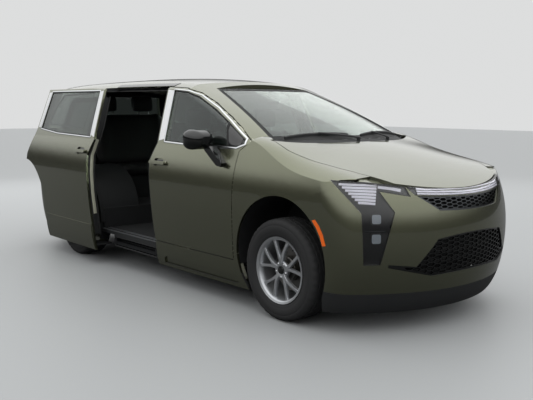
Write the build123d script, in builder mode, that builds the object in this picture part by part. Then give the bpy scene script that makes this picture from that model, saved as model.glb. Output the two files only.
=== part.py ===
from build123d import *
from collections import namedtuple
from math import atan2, cos, radians, sin, sqrt
import os

# Side-entry wheelchair accessible minivan, a lowered-floor conversion, in millimetres.
# Frame: +X to the front, +Y to the left, +Z up. The origin is on the ground under the middle of
# the vehicle. The right sliding door stands open, moved back and out along its tracks.

os.makedirs("parts", exist_ok=True)

# Driving dimensions
vehicle_length = 5176
nose_x = vehicle_length / 2
front_axle_x = 1623
wheelbase = 3089
rear_axle_x = front_axle_x - wheelbase
track_width = 1735
wheel_y = track_width / 2
hub_face_y = 795          # outer face of the front knuckles and the rear stubs
tyre_radius = 368.5
tyre_width = 235
rim_radius = 241
belt_z = 1200
skin = 20                 # outer panel of a door, fender, bonnet or bumper
wall = 58                 # depth of a door or pillar
glass_inset = 5           # how far a pane sits below the outer skin
glass = 6
panel_gap = 6             # shut line of a panel that moves
seat_gap = 0.3            # clearance where a fixed piece seats
rebate = 45               # how much smaller the inner part of a door is than its skin
pillar_gap = 14           # clearance of that inner part inside its opening

# The lower body's plan outlines, bottom to top
Plan = namedtuple("Plan", "z half front rear")
lower_plans = (
    Plan(150, 955, nose_x - 118, 118 - nose_x),
    Plan(300, 985, nose_x - 43, 43 - nose_x),
    Plan(560, 1003, nose_x, 3 - nose_x),
    Plan(800, 1010, nose_x - 16, 0 - nose_x),
    Plan(1000, 992, nose_x - 83, 16 - nose_x),
    Plan(belt_z, 930, nose_x - 208, 43 - nose_x),
    Plan(1330, 884, nose_x - 330, 68 - nose_x),
)
# The cabin's plan outlines above the belt: windscreen in front, tailgate behind
upper_plans = (
    Plan(belt_z, 930, 1700, 43 - nose_x),
    Plan(1330, 884, 1400, 68 - nose_x),
    Plan(1480, 828, 1010, 118 - nose_x),
    Plan(1640, 768, 545, 183 - nose_x),
    Plan(1800, 704, 70, 270 - nose_x),
)
side_bow_radius = 60000
nose_radius = 1350
nose_corner = 240
screen_radius = 1200
screen_corner = 170
tail_radius = 3000
tail_corner = 220
screen_rake = 2.7         # run of the windscreen for each unit of rise

# Cross sections of the bonnet and of the roof: height at the middle, at the shoulder, at the edge
Crown = namedtuple("Crown", "x middle shoulder edge")
bonnet_crowns = (
    Crown(1100, 1322, 1297, 1165),
    Crown(1500, 1268, 1222, 1100),
    Crown(1850, 1195, 1135, 1015),
    Crown(2150, 1104, 1072, 985),
    Crown(2400, 1010, 985, 930),
    Crown(2700, 850, 830, 770),
)
bonnet_shoulder_y = 790
bonnet_edge_y = 985
roof_crowns = (
    Crown(-2700, 1700, 1668, 1600),
    Crown(-2300, 1745, 1713, 1645),
    Crown(-1700, 1774, 1742, 1680),
    Crown(-900, 1785, 1753, 1694),
    Crown(-200, 1773, 1741, 1688),
    Crown(400, 1720, 1688, 1640),
    Crown(1000, 1630, 1598, 1552),
    Crown(1800, 1460, 1428, 1384),
)
roof_shoulder_y = 560
roof_edge_y = 735
crown_base_z = 100

# Wheel arches
arch_z = 448
arch_radius = 452
front_arch_x = front_axle_x - 5
rear_arch_x = rear_axle_x - 5
arch_depth_y = 520
liner_radius = arch_radius + 12


def rounded_corner(half, end, radius, corner):
    """Corner of a plan outline: where it leaves the end's arc, its middle, where it meets the side."""
    sign = 1 if end > 0 else -1
    end_x, side_centre = end - sign * radius, half - side_bow_radius
    x = end
    for _ in range(40):
        y = sqrt((side_bow_radius - corner) ** 2 - x**2) + side_centre
        x = end_x + sign * sqrt((radius - corner) ** 2 - y**2)
    start_angle = atan2(y, x - end_x)
    side_angle = atan2(y - side_centre, x)
    middle = (start_angle + side_angle) / 2
    return [(x + corner * cos(angle), y + corner * sin(angle))
            for angle in (start_angle, middle, side_angle)]


def flip(point):
    """The same plan point on the other side of the vehicle."""
    return (point[0], -point[1])


def plan_outline(half, front, rear, front_radius, front_corner, rear_corner):
    """Closed plan outline of two end arcs, two bowed sides and four rounded corners."""
    front_end, front_mid, front_side = rounded_corner(half, front, front_radius, front_corner)
    rear_end, rear_mid, rear_side = rounded_corner(half, rear, tail_radius, rear_corner)
    side_x = (front_side[0] + rear_side[0]) / 2
    side_mid = (side_x, half - side_bow_radius + sqrt(side_bow_radius**2 - side_x**2))
    ThreePointArc(flip(front_end), (front, 0), front_end)
    ThreePointArc(front_end, front_mid, front_side)
    ThreePointArc(front_side, side_mid, rear_side)
    ThreePointArc(rear_side, rear_mid, rear_end)
    ThreePointArc(rear_end, (rear, 0), flip(rear_end))
    ThreePointArc(flip(rear_end), flip(rear_mid), flip(rear_side))
    ThreePointArc(flip(rear_side), flip(side_mid), flip(front_side))
    ThreePointArc(flip(front_side), flip(front_mid), flip(front_end))


def plan_loft(plans, inset, front_radius, front_corner, front_rake, top_z=None):
    """Solid lofted through plan outlines, each drawn smaller by the inset."""
    with BuildPart() as form:
        for plan in plans:
            half, front, rear = plan.half - inset, plan.front - inset * front_rake, plan.rear + inset
            with BuildSketch(Plane.XY.offset(plan.z)):
                with BuildLine():
                    plan_outline(half, front, rear, front_radius - inset, front_corner - inset,
                                 tail_corner - inset)
                make_face()
        loft()
        if top_z is not None:
            split(bisect_by=Plane.XY.offset(top_z), keep=Keep.BOTTOM)
    return form.part


def crown_solid(crowns, shoulder_y, edge_y, drop, base_z):
    """Solid between a flat base and a crowned surface lofted along X."""
    reach, fall = 1250, 330
    with BuildPart() as form:
        for crown in crowns:
            section = Plane(origin=(crown.x, 0, 0), x_dir=(0, 1, 0), z_dir=(1, 0, 0))
            middle, shoulder, edge = (height - drop for height in crown[1:])
            slope = 2 * (middle - shoulder) / shoulder_y
            with BuildSketch(section):
                with BuildLine():
                    ThreePointArc((-shoulder_y, shoulder), (0, middle), (shoulder_y, shoulder))
                    TangentArc((shoulder_y, shoulder), (edge_y, edge), tangent=(1, -slope))
                    Polyline((edge_y, edge), (reach, edge - fall), (reach, base_z),
                             (-reach, base_z), (-reach, edge - fall), (-edge_y, edge))
                    TangentArc((-shoulder_y, shoulder), (-edge_y, edge), tangent=(-1, -slope))
                make_face()
        loft()
    return form.part


def side_prism(points, inner_y=0, outer_y=1300, grow=0, arcs=None):
    """Right-hand prism of a side-view outline of (x, z) points."""
    plane = Plane(origin=(0, -inner_y, 0), x_dir=(1, 0, 0), z_dir=(0, -1, 0))
    return outline_prism(plane, points, outer_y - inner_y, grow, arcs)


def plan_prism(points, low_z, high_z, grow=0, arcs=None):
    """Upright prism of a plan outline of (x, y) points."""
    return outline_prism(Plane.XY.offset(low_z), points, high_z - low_z, grow, arcs)


def end_prism(points, low_x, high_x, grow=0, arcs=None):
    """Prism along X of an outline of (y, z) points."""
    plane = Plane(origin=(low_x, 0, 0), x_dir=(0, 1, 0), z_dir=(1, 0, 0))
    return outline_prism(plane, points, high_x - low_x, grow, arcs)


def outline_prism(plane, points, depth, grow, arcs):
    """Prism of a closed outline. arcs gives the bulge point of the side that starts at an index."""
    arcs = arcs or {}
    with BuildPart() as prism:
        with BuildSketch(plane):
            with BuildLine():
                for index, start in enumerate(points):
                    end = points[(index + 1) % len(points)]
                    if index in arcs:
                        ThreePointArc(start, arcs[index], end)
                    else:
                        Line(start, end)
            make_face()
            if grow:
                offset(amount=grow, kind=Kind.ARC if arcs else Kind.INTERSECTION)
        extrude(amount=depth)
    return prism.part


def mirrored(part):
    """The left-hand copy of a right-hand solid."""
    return mirror(part, about=Plane.XZ)


def pair(part):
    """A right-hand solid and its left-hand copy."""
    return Compound(children=[*part.solids(), *mirrored(part).solids()])


def save(part, name):
    """Label a finished piece and write it."""
    solids = part.solids()
    piece = solids[0] if len(solids) == 1 else Compound(children=list(solids))
    piece.label = name
    export_step(piece, f"parts/{name}.step")


# Body forms at the insets that the panels need
def lower_form(inset, top_z=None):
    return plan_loft(lower_plans, inset, nose_radius, nose_corner, 1, top_z)


def upper_form(inset):
    hull = plan_loft(upper_plans, inset, screen_radius, screen_corner, screen_rake)
    return hull & crown_solid(roof_crowns, roof_shoulder_y, roof_edge_y, inset, crown_base_z)


def bonnet_solid(drop):
    return crown_solid(bonnet_crowns, bonnet_shoulder_y, bonnet_edge_y, drop, crown_base_z)


def cabin_form(inset):
    return lower_form(inset, belt_z) + upper_form(inset)


cabin_outer, cabin_skin, cabin_wall = (cabin_form(inset) for inset in (0, skin, wall))
outer_layer = cabin_outer - cabin_skin
inner_layer = cabin_skin - cabin_wall
glass_face = upper_form(glass_inset)
glass_layer = glass_face - upper_form(glass_inset + glass)
handle_stand, handle_bar = 26, 13     # how far a handle stands off the skin, and its thickness
handle_layer = lower_form(-handle_stand) - lower_form(handle_bar - handle_stand)
handle_post_layer = lower_form(-handle_stand) - lower_form(skin / 2)
handle_cup_depth = 13
handle_cup_layer = lower_form(-5) - lower_form(handle_cup_depth)
front_skin = (lower_form(0) & bonnet_solid(0)) - (lower_form(skin) & bonnet_solid(skin))
cabin_space = cabin_form(wall + 2)

# Side-view outlines, as (x, z) points
door_front_x = 1120
front_door_outline = (
    (door_front_x, 368), (door_front_x, 1190), (1200, 1247), (1176, 1268), (1023, 1350),
    (842, 1434), (585, 1541), (342, 1628), (170, 1669), (-76, 1682), (14, 1200), (-37, 1050),
    (6, 800), (30, 561), (58, 368),
)
front_window_outline = (
    (1150, 1244), (1140, 1268), (882, 1395), (667, 1491), (391, 1595), (233, 1634), (44, 1648),
    (120, 1228), (640, 1214), (1075, 1218),
)
door_shift = 8
slide_door_bottom = 150
sliding_door_outline = (
    (58 - door_shift, slide_door_bottom), (58 - door_shift, 368), (30 - door_shift, 561),
    (6 - door_shift, 800), (-37 - door_shift, 1050), (14 - door_shift, 1200),
    (-76 - door_shift, 1682), (-1318, 1682), (-1326, 1258), (-1428, 1000), (-1428, 938),
    (-985, 400), (-985, slide_door_bottom),
)
door_inner_bottom = 352
sliding_inner_outline = ((44, door_inner_bottom), *sliding_door_outline[2:11],
                         (-985, door_inner_bottom))
door_arc_point = 10        # the outline's side that runs round the rear arch
door_arc_radius = 492
door_arc_angle = radians(135)
door_arc_middle = (rear_arch_x + door_arc_radius * sin(door_arc_angle),
                   arch_z - door_arc_radius * cos(door_arc_angle))
door_arcs = {door_arc_point: door_arc_middle}
door_inner_arcs = {door_arc_point - 1: door_arc_middle}
sliding_window_outline = (
    (-92, 1232), (-160, 1648), (-1218, 1648), (-1222, 1280), (-800, 1246),
)
quarter_window_outline = (
    (-1420, 1290), (-1420, 1640), (-2130, 1618), (-2240, 1480), (-2300, 1340), (-2230, 1312),
)
fender_outline = (
    (door_front_x + panel_gap, 422), (door_front_x + panel_gap, 1184), (1210, 1246),
    (1262, 1340), (2260, 1340), (2200, 1050), (2128, 1048), (2085, 993), (1888, 905),
    (1888, 422),
)
bumper_outline = (
    (2030, 296), (1888 + seat_gap, 300), (1888 + seat_gap, 904), (2085, 993 - seat_gap),
    (2130, 1047), (2900, 1047), (2900, 296),
)
valance_outline = ((2010, 150), (2030, 296 - seat_gap), (2900, 296 - seat_gap), (2900, 150))
rear_bumper_outline = (
    (-1700, 152), (-1700, 420), (-1880, 660), (-2300, 660), (-2480, 600), (-2900, 600),
    (-2900, 152),
)
tail_lamp_outline = ((-1020, 955), (-1020, 1088), (-860, 1088), (-860, 955))
gate_lamp_outline = ((-838, 972), (-838, 1074), (-520, 1060), (520, 1060), (838, 1074),
                     (838, 972), (520, 1000), (-520, 1000))
tail_lamp_front_x = -2360
doorway_rear_x, doorway_front_x = -985, 45
skirt_outline = (
    (56, 152), (56, 362), (300, 362), (340, 304), (510, 304), (545, 362), (1125, 362),
    (1128, 420), (1172, 420), (1262, 152),
)
step_slot = ((164, 181), (164, 225), (210, 247), (1110, 247), (1150, 225), (1150, 181))

# Plan outlines, as (x, y) points
bonnet_outline = (
    (1348, -776), (1540, -806), (1800, -796), (2010, -762), (2150, -712), (2335, -598),
    (2335, 598), (2150, 712), (2010, 762), (1800, 796), (1540, 806), (1348, 776),
)
bonnet_arcs = {5: (2482, 0), 11: (1592, 0)}
screen_outline = ((1277, -741), (330, -531), (330, 531), (1277, 741))
screen_arcs = {1: (448, 0), 3: (1528, 0)}
roof_half = 600
roof_rear_x = -2262
roof_outline = ((330, -roof_half), (roof_rear_x, -roof_half), (roof_rear_x, roof_half),
                (330, roof_half))

# End-view outlines, as (y, z) points
gate_outline = (
    (-770, 612), (-850, 700), (-852, 1000), (-815, 1200), (-650, 1660), (-596, 1710),
    (-596, 1820), (596, 1820), (596, 1710), (650, 1660), (815, 1200), (852, 1000), (850, 700),
    (770, 612),
)
rear_glass_outline = ((-700, 1215), (-585, 1610), (585, 1610), (700, 1215))


def arch_cylinder(x, radius, inner_y, outer_y):
    """Right-hand cylinder across a wheel arch."""
    plane = Plane(origin=(x, -inner_y, arch_z), x_dir=(1, 0, 0), z_dir=(0, -1, 0))
    with BuildPart() as drum:
        with BuildSketch(plane):
            Circle(radius)
        extrude(amount=outer_y - inner_y)
    return drum.part


def block(low, high):
    """Box between two corners."""
    size = [b - a for a, b in zip(low, high)]
    with BuildPart() as box:
        with Locations(tuple((a + b) / 2 for a, b in zip(low, high))):
            Box(*size)
    return box.part


front_arch = arch_cylinder(front_arch_x, arch_radius, arch_depth_y, 1200)
rear_arch = arch_cylinder(rear_arch_x, arch_radius, arch_depth_y, 1200)

# Door handles: a bar on two posts over a scooped recess, as rows of x and z at its middle
Handle = namedtuple("Handle", "x z")
front_handle, sliding_handle = Handle(104, 1043), Handle(-195, 1088)
handle_length, handle_height, handle_post, post_inset = 232, 30, 26, 8
cup_length, cup_height = 150, 66


def oval_prism(x, z, length, height):
    """Right-hand prism of a slot shape along the body's side."""
    with BuildPart() as prism:
        with BuildSketch(Plane(origin=(x, -600, z), x_dir=(1, 0, 0), z_dir=(0, -1, 0))):
            SlotOverall(length, height)
        extrude(amount=700)
    return prism.part


def with_handle(door, place):
    """The door with its handle's recess cut and its bar and posts added."""
    bar = handle_layer & oval_prism(place.x, place.z, handle_length, handle_height)
    door -= handle_cup_layer & oval_prism(place.x, place.z, cup_length, cup_height)
    for side in (-1, 1):
        post_x = place.x + side * ((handle_length - handle_post) / 2 - post_inset)
        bar += handle_post_layer & oval_prism(post_x, place.z, handle_post, handle_post - 4)
    return door + bar


# Doors
front_door_prism = side_prism(front_door_outline, 600)
front_door_inner = side_prism(front_door_outline, 600, grow=-rebate)
front_window = side_prism(front_window_outline, 600)
door_frame_inner = side_prism(front_window_outline, 600, grow=4)
front_door = (outer_layer & front_door_prism) - front_window
front_door += (inner_layer & front_door_inner) - door_frame_inner
front_door_glass = glass_layer & side_prism(front_window_outline, 600, grow=-seat_gap)

sliding_prism = side_prism(sliding_door_outline, 600, arcs=door_arcs)
sliding_inner = side_prism(sliding_inner_outline, 600, grow=-rebate, arcs=door_inner_arcs)
sliding_window = side_prism(sliding_window_outline, 600)
sliding_door = (outer_layer & sliding_prism) - sliding_window
sliding_door += (inner_layer & sliding_inner) - side_prism(sliding_window_outline, 600, grow=4)
sliding_glass = glass_layer & side_prism(sliding_window_outline, 600, grow=-seat_gap)

front_door = with_handle(front_door, front_handle)
sliding_door = with_handle(sliding_door, sliding_handle)
save(front_door, "front_door_right")
save(mirrored(front_door), "front_door_left")
save(front_door_glass, "front_door_glass_right")
save(mirrored(front_door_glass), "front_door_glass_left")
slide_back, slide_out = 890, 130


def opened(part):
    """A right sliding-door piece moved back and out to where the door stands open."""
    with BuildPart() as moved:
        with Locations((-slide_back, -slide_out, 0)):
            add(part)
    return moved.part


save(opened(sliding_door), "sliding_door_right")
save(mirrored(sliding_door), "sliding_door_left")

# Fixed glass: quarter windows and the sliding doors' panes
quarter_window = side_prism(quarter_window_outline, 600)
quarter_glass = glass_layer & side_prism(quarter_window_outline, 600, grow=-seat_gap)
save(Compound(children=[*pair(quarter_glass).solids(), *opened(sliding_glass).solids(),
                        *mirrored(sliding_glass).solids()]), "side_glass")
screen_prism = plan_prism(screen_outline, 1180, 1800, arcs=screen_arcs)
save(glass_layer & plan_prism(screen_outline, 1180, 1800, -seat_gap, screen_arcs), "windscreen")



# Hinge of the front doors: an upright pin line just inside the outer skin
door_hinge_x, door_hinge_y = door_front_x - 40, 990
hinge_swing_radius = 54
door_shoulder_radius = 99
door_tip_radius = 164
# Where the frame behind the door's sloping front edge is cut back to let that edge swing out
pillar_relief = ((1212, 1234), (1184, 1277), (1027, 1359), (846, 1443), (640, 1528), (600, 1440),
                 (1000, 1290), (1080, 1190), (1126, 1180))


def hinge_clearance(radius, low_z, high_z):
    """Right-hand upright cylinder that the door's edge ahead of its pin swings through."""
    with BuildPart() as clearance:
        with BuildSketch(Plane.XY.offset(low_z)):
            with Locations((door_hinge_x, -door_hinge_y)):
                Circle(radius)
        extrude(amount=high_z - low_z)
    return clearance.part


# Tracks of the sliding doors: grooves in the roof rail and under the quarter window
Track = namedtuple("Track", "rear front z depth")
upper_track, centre_track = Track(-1300, -60, 1665, 42), Track(-2290, -1440, 1263, 18)
roller_half = 8


def groove(track):
    """Right-hand groove of a sliding door's track."""
    half = roller_half + seat_gap
    return side_prism(((track.rear, track.z - half), (track.front, track.z - half),
                       (track.front, track.z + half), (track.rear, track.z + half)),
                      600) - upper_form(track.depth)


# Body sides: sill, pillars, roof rail and quarter panel in one pressing
sill_z = 200
gate_front_x = -2150
gate_prism = end_prism(gate_outline, -2700, gate_front_x, grow=panel_gap)
gate_roof_cut = block((-2700, -1100, 500), (roof_rear_x, 1100, 1900))
body_outline = (
    (-2700, sill_z), (1200, sill_z), (1200, 1100), (1262, 1276), (1420, 1330), (1420, 1900),
    (-2700, 1900),
)
body_zone = side_prism(body_outline, 0)
body_skin = (outer_layer & body_zone) - [
    side_prism(front_door_outline, 600, grow=panel_gap),
    side_prism(sliding_door_outline, 600, grow=panel_gap, arcs=door_arcs),
    side_prism(skirt_outline, 600, grow=seat_gap),
    side_prism(rear_bumper_outline, 0, grow=seat_gap),
    end_prism(tail_lamp_outline, -2700, tail_lamp_front_x, seat_gap),
    side_prism(fender_outline, 500, grow=seat_gap) - block((0, -2000, belt_z), (3000, 0, 2000)),
    arch_cylinder(front_arch_x, arch_radius, arch_depth_y, 1200),
    rear_arch,
    groove(centre_track),
    hinge_clearance(hinge_swing_radius, 300, 1800),
]
body_frame = (inner_layer & body_zone) - [
    side_prism(front_door_outline, 600, grow=pillar_gap - rebate),
    side_prism(sliding_inner_outline, 600, grow=pillar_gap - rebate, arcs=door_inner_arcs),
    arch_cylinder(front_arch_x, liner_radius + 1, arch_depth_y, 1200),
    arch_cylinder(rear_arch_x, liner_radius + 1, arch_depth_y, 1200),
    groove(upper_track),
    hinge_clearance(hinge_swing_radius, 300, 1040),
    hinge_clearance(door_shoulder_radius, 1030, 1195),
    hinge_clearance(door_tip_radius, 1190, 1335),
    side_prism(pillar_relief, 600),
]
body_side = (body_skin + body_frame) - [
    plan_prism(roof_outline, 1400, 1900),
    screen_prism,
    gate_prism & gate_roof_cut,
    quarter_window,
]
jack_pad = block((570, -930, 176), (630, -897, sill_z + 4))
body_side = body_side.solids().sort_by(SortBy.VOLUME)[-1] + jack_pad
doorway_cut = block((doorway_rear_x, -1100, sill_z - 10), (doorway_front_x, -800, 390))
save(body_side - doorway_cut, "body_side_right")
body_wall = outer_layer + inner_layer
save(mirrored(body_side), "body_side_left")

# Front end
bonnet_prism = plan_prism(bonnet_outline, 900, 1400, arcs=bonnet_arcs)
hinge_y, bonnet_pin_x, bonnet_pin_z, pin_radius = 759, 1345, 1240, 5
hinge_bay = ((1318, -792), (1352, -792), (1352, -736), (1318, -736))
cowl_bay = ((1000, -742), (1277, -742), (1346, -768.6), (1346, 0), (1000, 0))
bonnet_opening = plan_prism(bonnet_outline, 900, 1400, panel_gap, bonnet_arcs)
bonnet = front_skin & bonnet_prism
bonnet_arm = ((1345, 1231), (1345, 1249), (1380, 1234), (1440, 1226), (1440, 1206), (1380, 1214))


def along_y(x, z, radius, low_y, high_y):
    """Right-hand round bar along Y between two distances from the middle."""
    with BuildPart() as bar:
        with BuildSketch(Plane(origin=(x, -low_y, z), x_dir=(1, 0, 0), z_dir=(0, -1, 0))):
            Circle(radius)
        extrude(amount=high_y - low_y)
    return bar.part


hinge_arm = side_prism(bonnet_arm, hinge_y - 5, hinge_y + 5)
hinge_arm += along_y(bonnet_pin_x, bonnet_pin_z, 10, hinge_y - 5, hinge_y + 5)
hinge_arm -= along_y(bonnet_pin_x, bonnet_pin_z, pin_radius + seat_gap, hinge_y - 9, hinge_y + 9)
bonnet += hinge_arm + mirrored(hinge_arm)
bonnet_pin = along_y(bonnet_pin_x, bonnet_pin_z, pin_radius, hinge_y - 6, 800)
pin_bracket = block((bonnet_pin_x - 6, -800, bonnet_pin_z - 6),
                    (bonnet_pin_x + 6, -784, bonnet_pin_z + 13))
save(bonnet, "bonnet")

# The lamps' outline is drawn on an upright plane that faces their corner of the nose
lamp_bearing = 48.8
lamp_outline = (
    (664, 1046), (886, 1036), (1158, 1003), (1196, 938), (983, 974), (1085, 842), (992, 500),
    (880, 497), (862, 838),
)
lamp_depth = 24
light_bar_outline = ((-552, 1004), (-500, 946), (500, 946), (552, 1004))
light_bar_arcs = {1: (0, 929), 3: (0, 972)}
upper_grille_outline = ((-492, 943), (-340, 840), (340, 840), (492, 943))
upper_grille_arcs = {1: (0, 832), 3: (0, 927)}
lower_grille_outline = (
    (-372, 655), (-520, 478), (-700, 500), (-700, 478), (-395, 404), (395, 404), (700, 478),
    (700, 500), (520, 478), (372, 655),
)
lower_grille_arcs = {4: (0, 416), 9: (0, 682)}


def lamp_prism(grow=0):
    """Right-hand prism of the lamp's outline, square to the corner of the nose."""
    bearing = radians(lamp_bearing)
    facing = Plane(origin=(1500 * sin(bearing), -1500 * cos(bearing), 0),
                   x_dir=(cos(bearing), sin(bearing), 0), z_dir=(sin(bearing), -cos(bearing), 0))
    return outline_prism(facing, lamp_outline, 1400, grow, None)


nose_low_x, nose_high_x = 1900, 2700
lamp_cut, bar_cut, upper_cut, lower_cut = (
    pair(lamp_prism()),
    end_prism(light_bar_outline, nose_low_x, nose_high_x, arcs=light_bar_arcs),
    end_prism(upper_grille_outline, nose_low_x, nose_high_x, arcs=upper_grille_arcs),
    end_prism(lower_grille_outline, nose_low_x, nose_high_x, arcs=lower_grille_arcs),
)
lamps = front_skin & pair(lamp_prism(-seat_gap))
light_bar = (front_skin & end_prism(light_bar_outline, nose_low_x, nose_high_x, -seat_gap,
                                    light_bar_arcs)) - lamp_cut - bonnet_opening
lamps -= bonnet_opening
save(Compound(children=[*lamps.solids(), *light_bar.solids()]), "front_lamps")
bumper = front_skin & side_prism(bumper_outline, -1300)
bumper -= [*lamp_cut.solids(), bar_cut, upper_cut, lower_cut, bonnet_opening,
           *pair(front_arch).solids()]
save(bumper.solids().sort_by(SortBy.VOLUME)[-1], "front_bumper")
fender = (front_skin & side_prism(fender_outline, 500)) - [
    bonnet_opening, lamp_prism(), front_arch, upper_form(0), plan_prism(cowl_bay, 900, 1500)]
fender -= plan_prism(hinge_bay, 900, 1500)
fender = fender.solids().sort_by(SortBy.VOLUME)[-1] + bonnet_pin + pin_bracket
save(pair(fender), "fenders")
valance = (front_skin & side_prism(valance_outline, -1300)) - pair(front_arch)
save(valance.solids().sort_by(SortBy.VOLUME)[-1], "front_valance")

# Grilles: a curved sheet cut by rows of flattened hexagons, every other row shifted by half a cell
grille_inset = 9
grille_rib, grille_rim = 5, 11
Mesh = namedtuple("Mesh", "outline arcs pitch_y pitch_z middle_z columns rows")
upper_mesh = Mesh(upper_grille_outline, upper_grille_arcs, 62, 24, 886, 11, 5)
lower_mesh = Mesh(lower_grille_outline, lower_grille_arcs, 66, 30, 545, 11, 9)


def grille(mesh):
    """One grille, cut to its opening's outline."""
    half_y, half_z = (mesh.pitch_y - grille_rib) / 2, (mesh.pitch_z - grille_rib) / 2
    hexagon = ((-half_y, 0), (-half_y / 2, -half_z), (half_y / 2, -half_z), (half_y, 0),
               (half_y / 2, half_z), (-half_y / 2, half_z))
    step_y = 1.5 * half_y + grille_rib
    window = end_prism(mesh.outline, nose_low_x, nose_high_x, -grille_rim, mesh.arcs)
    with BuildSketch(Plane(origin=(nose_low_x, 0, mesh.middle_z), x_dir=(0, 1, 0),
                           z_dir=(1, 0, 0))) as cells:
        for extra in (0, 1):
            with GridLocations(2 * step_y, mesh.pitch_z, mesh.columns + extra, mesh.rows + extra):
                Polygon(*hexagon, align=None)
    openings = extrude(cells.sketch & window.faces().sort_by(Axis.X)[0],
                       amount=nose_high_x - nose_low_x, dir=(1, 0, 0))
    sheet = grille_layer & end_prism(mesh.outline, nose_low_x, nose_high_x, -seat_gap, mesh.arcs)
    return sheet - openings - lamp_cut


grille_layer = lower_form(grille_inset) - lower_form(skin - 1)
save(Compound(children=[x for mesh in (upper_mesh, lower_mesh) for x in grille(mesh).solids()]),
     "grilles")

# Cowl between the bonnet and the windscreen
screen_seat = upper_form(glass_inset - seat_gap)
cowl_points = ((1277 + seat_gap, -741), (1335, -760), (1335, 760), (1277 + seat_gap, 741))
cowl_arcs = {1: (1582, 0), 3: (1528 + seat_gap, 0)}
cowl_thickness = 16
cowl = glass_face - upper_form(glass_inset + cowl_thickness)
cowl &= plan_prism(cowl_points, 1100, 1400, arcs=cowl_arcs)
cowl -= pair(plan_prism(hinge_bay, 900, 1500))
save(cowl, "cowl")

# Tail
gate_cut = block((-2700, -1100, 500), (roof_rear_x - 12, 1100, 1900))
rear_glass_prism = end_prism(rear_glass_outline, -2700, gate_front_x)
gate_lamp_prism = end_prism(gate_lamp_outline, -2700, gate_front_x)
tailgate = body_wall & end_prism(gate_outline, -2700, gate_front_x) & gate_cut
tailgate -= rear_glass_prism
tailgate -= gate_lamp_prism - inner_layer
gate_hinge_z, gate_hinge_y, gate_pin_radius, gate_boss_radius = 1739, 95, 4, 7
gate_hinge_x = roof_rear_x - 12.5
plate_z, plate_half = 790, (160, 60)
plate_bolt_y, plate_bolt_z, plate_bolt_radius = 89, 60.5, 3


def gate_hinge(radius, half_length):
    """Right-hand round bar on the tailgate's hinge line."""
    return along_y(gate_hinge_x, gate_hinge_z, radius, gate_hinge_y - half_length,
                   gate_hinge_y + half_length)


gate_face_x = 10 - nose_x
tailgate -= block((gate_face_x - 200, -plate_half[0], plate_z - plate_half[1] - 14),
                  (gate_face_x, plate_half[0], plate_z + plate_half[1] + 14))
with BuildPart() as plate_bolts:
    with BuildSketch(Plane(origin=(gate_face_x, 0, plate_z), x_dir=(0, 1, 0), z_dir=(1, 0, 0))):
        with GridLocations(2 * plate_bolt_y, 2 * plate_bolt_z, 2, 2):
            Circle(plate_bolt_radius)
    extrude(amount=20)
tailgate -= plate_bolts.part
hinge_notch = block((gate_hinge_x - 16, -gate_hinge_y - 22, 1600),
                    (gate_hinge_x + 20, -gate_hinge_y + 22, 1900))
tailgate -= pair(hinge_notch)
tailgate = tailgate.solids().sort_by(SortBy.VOLUME)[-1] + pair(gate_hinge(gate_pin_radius, 30))
save(tailgate, "tailgate")
hinge_boss = gate_hinge(gate_boss_radius, 20) + block(
    (gate_hinge_x, -gate_hinge_y - 20, gate_hinge_z - gate_boss_radius),
    (roof_rear_x + 2, -gate_hinge_y + 20, gate_hinge_z + 4))
hinge_boss -= gate_hinge(gate_pin_radius + seat_gap, 40)
roof_panel = (body_wall & plan_prism(roof_outline, 1400, 1900, -seat_gap)) - screen_prism
save(roof_panel + pair(hinge_boss), "roof_panel")
save(glass_layer & end_prism(rear_glass_outline, -2700, gate_front_x, -seat_gap),
     "tailgate_glass")
save(outer_layer & end_prism(gate_lamp_outline, -2700, gate_front_x, -seat_gap),
     "tailgate_lamps")
tail_lamp = outer_layer & end_prism(tail_lamp_outline, -2700, tail_lamp_front_x)
save(pair(tail_lamp), "tail_lamps")
rear_bumper = (outer_layer & side_prism(rear_bumper_outline, -1300)) - pair(rear_arch)
save(rear_bumper.solids().sort_by(SortBy.VOLUME)[-1], "rear_bumper")
skirt = (outer_layer & side_prism(skirt_outline, 600)) - front_arch
skirt -= side_prism(step_slot, 600) - cabin_form(14)
save(pair(skirt.solids().sort_by(SortBy.VOLUME)[-1]), "sill_skirts")

# Floor: the lowered cabin floor, the raised rear floor and the toe board
floor_top, floor_low = 330, 300
rear_floor_top = 520
toe_x = 1112
ramp_rear_x, ramp_front_x = -700, 10
cassette_gap = panel_gap + 1
cassette_wall = 14
cassette_y = 955
ramp_length = 1250
ramp_low, ramp_high = 214, 272
floor = block((doorway_rear_x + 15, -1000, floor_low), (toe_x, 1000, floor_top))
floor += block((doorway_rear_x - 5, -1000, floor_low), (doorway_rear_x + 15, 1000, rear_floor_top))
floor += block((-2440, -1000, rear_floor_top - 25), (doorway_rear_x - 5, 1000, rear_floor_top))
floor += block((toe_x, -1000, floor_low), (toe_x + 22, 1000, 1160))
rail_inner_y, rail_outer_y, rail_low_z, rail_high_z, rail_front_x = 400, 480, 330, 430, 2380
floor = (floor & cabin_space) - pair(arch_cylinder(rear_arch_x, arch_radius + 16, 500, 1200))
rail = block((toe_x + 10, -rail_outer_y, rail_low_z), (rail_front_x, -rail_inner_y, rail_high_z))
floor += rail + mirrored(rail)
floor += block((rail_front_x - 50, -620, rail_low_z + 90), (rail_front_x, 620, rail_high_z + 90))
save(floor.solids().sort_by(SortBy.VOLUME)[-1], "floor_pan")

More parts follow.
